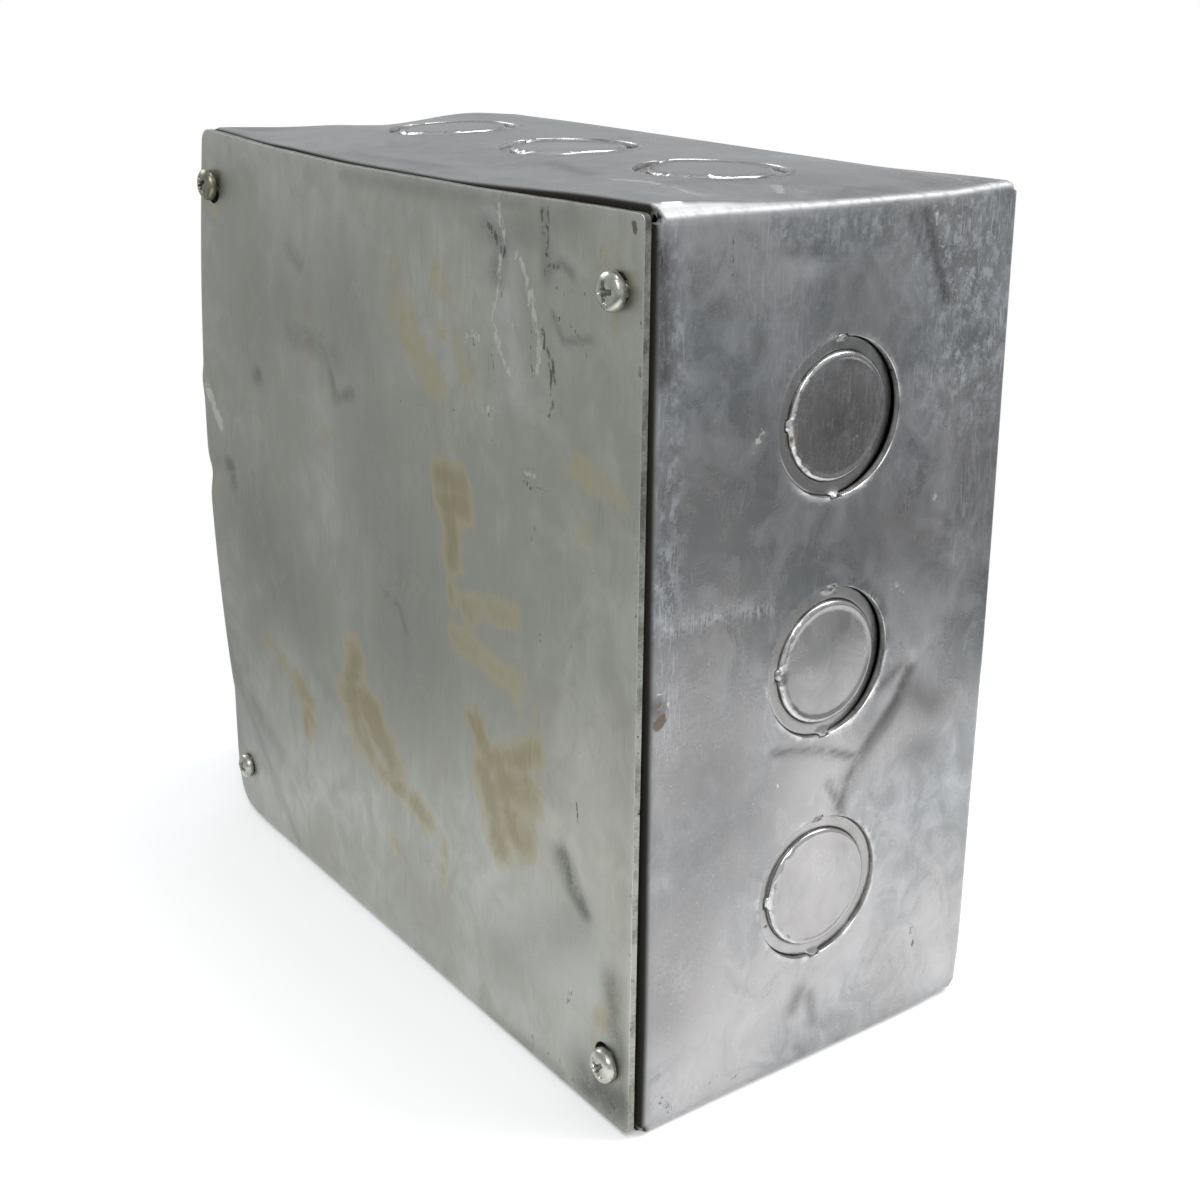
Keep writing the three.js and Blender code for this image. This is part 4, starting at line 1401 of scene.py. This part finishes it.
def cover_screw(name, x, z, finish, angle, proud, head):
    """A pan-head machine screw. proud is how far its head stands off the cover, and head its radius."""
    height = 2.9 * head / 4.1
    seat = COVER_LOW.y - float(cover_lift(np.array([float(x)]), np.array([float(z)]))[0]) - proud
    shoulder = seat - height * 0.42

    def crown(px, pz):
        far = np.clip(np.hypot(px, pz) / (head * 0.985), 0, 1)
        dome = shoulder - (height * 0.58) * np.sqrt(np.maximum(1 - far ** 2.4, 0))
        return dome + recess(px, pz) * ease(1 - far, 0, 0.02)

    tip = seat + SCREW_LENGTH
    rows = [(head, shoulder + 0.25), (head, seat - 0.25), (head - 0.12, seat - 0.06), (head - 0.35, seat)]
    rows += [(2.2, seat), *threaded_rows(2.08, seat + 0.1, tip - 0.7), (1.7, tip - 0.6), (1.3, tip)]

    def paint(points):
        # Painted shade: darker in the cross recess, a little on the head's rim and side, more on the shank.
        deep = recess(points[:, 0], points[:, 2])
        in_head = (points[:, 1] < seat) & (np.hypot(points[:, 0], points[:, 2]) < head * 0.98)
        return np.where(in_head, 0.7 * ease(deep, 0.3, 1.4), np.where(points[:, 1] > seat, 0.25, 0.15))

    rim = head * 0.985
    return turned_piece(f"{name}_look", x, z + HALF, rim, crown, rows, [finish], paint, angle)


def ground_screw(finish):
    """The six-sided washer-head screw for the ground wire."""
    x, z = (GROUND_LOW.x + GROUND_HIGH.x) / 2, (GROUND_LOW.z + GROUND_HIGH.z) / 2
    front, tip = GROUND_LOW.y, GROUND_HIGH.y
    seat = front + 3.5

    def hexagon(corner):
        def radius(turn, y=0):
            part = (turn + math.pi / 6) % (math.pi / 3) - math.pi / 6
            return corner * math.cos(math.pi / 6) / math.cos(part)
        return radius

    def crown(px, pz):
        far = np.hypot(px, pz)
        dish = 0.25 * ease(3.1 - far, 0, 1.5)
        round_off = 0.35 * ease(far, 3.3, 4.4) ** 2
        return front + 0.08 + dish + round_off + ease(0.6 - np.abs(pz), -0.08, 0.08) * 1.1

    rows = [(hexagon(4.4), y) for y in (front + 0.75, seat - 1.15, seat - 0.98)]
    rows += [(4.7, seat - 0.92), (4.9, seat - 0.8), (4.98, seat - 0.6), (4.98, seat - 0.15), (4.8, seat)]
    rows += [(2.5, seat), *threaded_rows(2.38, seat + 0.1, tip - 0.6), (1.8, tip - 0.4), (1.4, tip)]
    return turned_piece("ground_screw_look", x, z, hexagon(4.2), crown, rows, [finish])


# ---------------------------------------------------------------- inside and back

def back_plate(looks):
    """The flat plate at the back, with four mounting holes and the boss for the ground screw."""
    reach = (PLATE_HIGH.x - PLATE_LOW.x) / 2
    boss = ((GROUND_LOW.x + GROUND_HIGH.x) / 2, (GROUND_LOW.z + GROUND_HIGH.z) / 2 - HALF)
    outline = refine([(-reach, -reach), (reach, -reach), (reach, reach), (-reach, reach)], 3.0)
    corners = [(x, z) for x in (-MOUNT_HOLE_AT, MOUNT_HOLE_AT) for z in (-MOUNT_HOLE_AT, MOUNT_HOLE_AT)]
    holes = [ring_of(MOUNT_HOLE, 40, corner) for corner in corners]
    holes.append(ring_of(BOSS_HOLE, 40, boss))
    grid = []
    for radius in (3.4, 4.4, 5.4, 6.2, 6.8, 7.4, 8.2, 9.0, 9.8, 10.4, 11.0, 12.0):
        grid += ring_of(radius, 48, boss)
    for px in span(-reach, reach, 3.3):
        for pz in span(-reach, reach, 3.3):
            if math.hypot(px - boss[0], pz - boss[1]) > 13.5:
                grid.append((px, pz))
    blank = Blank(outline, holes, grid, (0.1, 0.4), 0.4)

    def place(flat, depth):
        px, pz = flat.T
        far = np.hypot(px - boss[0], pz - boss[1])
        rise = (PLATE_HIGH.y - PLATE_LOW.y - SHEET) * (1 - ease(far, 6.3, 10.4))
        flat_edges = ease(reach - np.abs(px), 4, 20) * ease(reach - np.abs(pz), 4, 20)
        uneven = 0.35 * waves(px, pz, 80, 19) * flat_edges
        return np.stack([px, PLATE_HIGH.y - SHEET - rise - uneven + depth, pz + HALF], axis=1)

    def paint(flat, outer, inner):
        px, pz = flat.T
        dark = 0.25 * near_line(px, pz, [(-50, 30), (20, -10)], 14)
        scuff = 0.5 * near_line(px, pz, [(10, 40), (60, -50)], 16)
        return {"dark": both_faces(dark, 1.0), "scuff": both_faces(scuff, 1.0)}

    piece = solid_sheet("back_plate_look", blank, place, 0.15, looks, paint)
    ride_as(piece, "box", "back_plate")


def seam_lap(look):
    """The tab behind the seam at the lower left corner, with its welds."""
    wide, tall = BACK - FRONT - 9.5, 12.0
    outline = refine([(0, 0), (wide, 0), (wide, tall), (0, tall)], 2.0)
    grid = [(a, b) for a in span(0, wide, 2) for b in span(0, tall, 2)]
    blank = Blank(outline, [], grid, (0.15, 0.4), 0.3)

    def welds(a, b, size):
        return sum(bump_at(np.hypot(a - at, b - 7.5), size) for at in (14, 45, 76))

    def place(flat, depth):
        a, b = flat.T
        x = -HALF + 2 * SHEET + 0.05 - depth - 0.35 * welds(a, b, 2.236)
        return np.stack([x, FRONT + 4.5 + a, 2.2 + b], axis=1)

    def paint(flat, outer, inner):
        a, b = flat.T
        return {"dark": both_faces(0.6 * welds(a, b, 3))}

    piece = solid_sheet("seam_lap", blank, place, 0.2, look, paint, thickness=SHEET - 0.15)
    ride_as(piece, "box", None)


def flange_collars(look):
    """Metal drawn back around the four tapped holes of the front flanges, threaded inside."""
    profile = [(4.6, 0.0), (3.9, 0.25), (3.65, 0.8), (3.55, 2.0), (3.4, 2.35), (3.0, 2.42), (2.5, 2.38)]
    rows = 26
    inner = [(None, 2.3 - n * 3.9 / rows) for n in range(rows + 1)]
    bore = thread(2.5, deep=0.3)
    count = 40
    points, faces = [], []
    for _, x, z in screw_places():
        first = len(points)
        steps = profile + inner
        for radius, back in steps:
            for n in range(count):
                turn = 2 * math.pi * n / count
                far = bore(turn, back) if radius is None else radius
                y = FRONT + SHEET - 0.05 + back
                points.append((x + far * math.cos(turn), y, z + HALF + far * math.sin(turn)))
        total = len(steps)
        for row in range(total):
            for n in range(count):
                a = first + row * count + n
                b = first + row * count + (n + 1) % count
                c = first + ((row + 1) % total) * count + (n + 1) % count
                d = first + ((row + 1) % total) * count + n
                faces.append((a, b, c, d))
    piece = make_object("flange_collars", knock(np.array(points)), faces, [look], None, None, 60)
    ride_as(piece, "box", None)


# ---------------------------------------------------------------- the whole object

make_camera()
make_world()
make_light("overhead_soft_box", (0.28, 0.45, 1.05), (0.5, 1.0), 11)
make_light("front_soft_box", (0.75, -0.5, 0.95), (0.45, 0.45), 5)
make_light("left_soft_box", (-1.1, -0.35, 0.8), (0.7, 0.7), 5, (0.94, 0.97, 1.0))
make_floor()

bpy.context.scene.view_settings.view_transform = "Standard"

wall_zinc = zinc_sheet("wall_zinc", (0.23, 0.237, 0.242), (0.41, 0.415, 0.425), 0.26, 0)
ring_zinc = zinc_sheet("ring_zinc", (0.25, 0.25, 0.245), (0.38, 0.38, 0.38), 0.27, 7)
slug_zinc = zinc_sheet("slug_zinc", (0.25, 0.245, 0.243), (0.37, 0.365, 0.365), 0.22, 13)
plate_zinc = zinc_sheet("plate_zinc", (0.34, 0.345, 0.345), (0.52, 0.525, 0.53), 0.30, 23)
cut_steel = cut_edge("cut_steel", 2, (0.10, 0.095, 0.08), (0.42, 0.42, 0.40))
cover_rim = cut_edge("cover_rim", 8, (0.16, 0.16, 0.135), (0.34, 0.345, 0.315))
sheared = cut_edge("sheared", 5, (0.30, 0.29, 0.27), (0.62, 0.62, 0.61))
cover_steel = cover_sheet("cover_steel")
zinc_plate = screw_finish("zinc_plate", (0.50, 0.50, 0.45), (0.07, 0.062, 0.048), 0.2, 5)
# A darker copy of the plating for the top left screw: painted shade, since that head reflects a darker part
# of the room.
shaded_plate = screw_finish("shaded_plate", (0.27, 0.26, 0.20), (0.05, 0.045, 0.033), 0.24, 6)
green_dye = screw_finish("green_dye", (0.05, 0.22, 0.08), (0.03, 0.05, 0.03), 0.28, 9)

strip = Blank(strip_outline(), strip_holes(), strip_grid(), (0.06, 0.2, 0.5), 0.35)
wrapper = solid_sheet("box_wrapper_look", strip, fold_strip, 0.22, [wall_zinc, sheared], paint_strip)
ride_as(wrapper, "box", "box_wrapper")
seam_lap([plate_zinc, cut_steel])
flange_collars(plate_zinc)
back_plate([plate_zinc, cut_steel])
ride_as(ground_screw(green_dye), "ground_screw", "ground_screw")
make_knockouts(ring_blank(), slug_blank(), {"ring": ring_zinc, "slug": slug_zinc}, sheared)

cover = solid_sheet("cover_look", cover_blank(), place_cover, 0.18, [cover_steel, cover_rim], paint_cover)
ride_as(cover, "cover", "cover")
# How each cover screw is turned, how far it stands off the cover, and how big its head is.
SCREWS = {
    "top_left": (0.5, 0.6, 4.25),
    "top_right": (0.12, 0.9, 4.1),
    "bottom_left": (1.3, 0.3, 3.6),
    "bottom_right": (0.75, 0.45, 4.1),
}
for corner, screw_x, screw_z in screw_places():
    node = f"cover_screw_{corner}"
    # The top left screw takes the darker, shaded copy of the plating.
    plating = shaded_plate if corner == "top_left" else zinc_plate
    made = cover_screw(node, screw_x, screw_z, plating, *SCREWS[corner])
    ride_as(made, node, node)
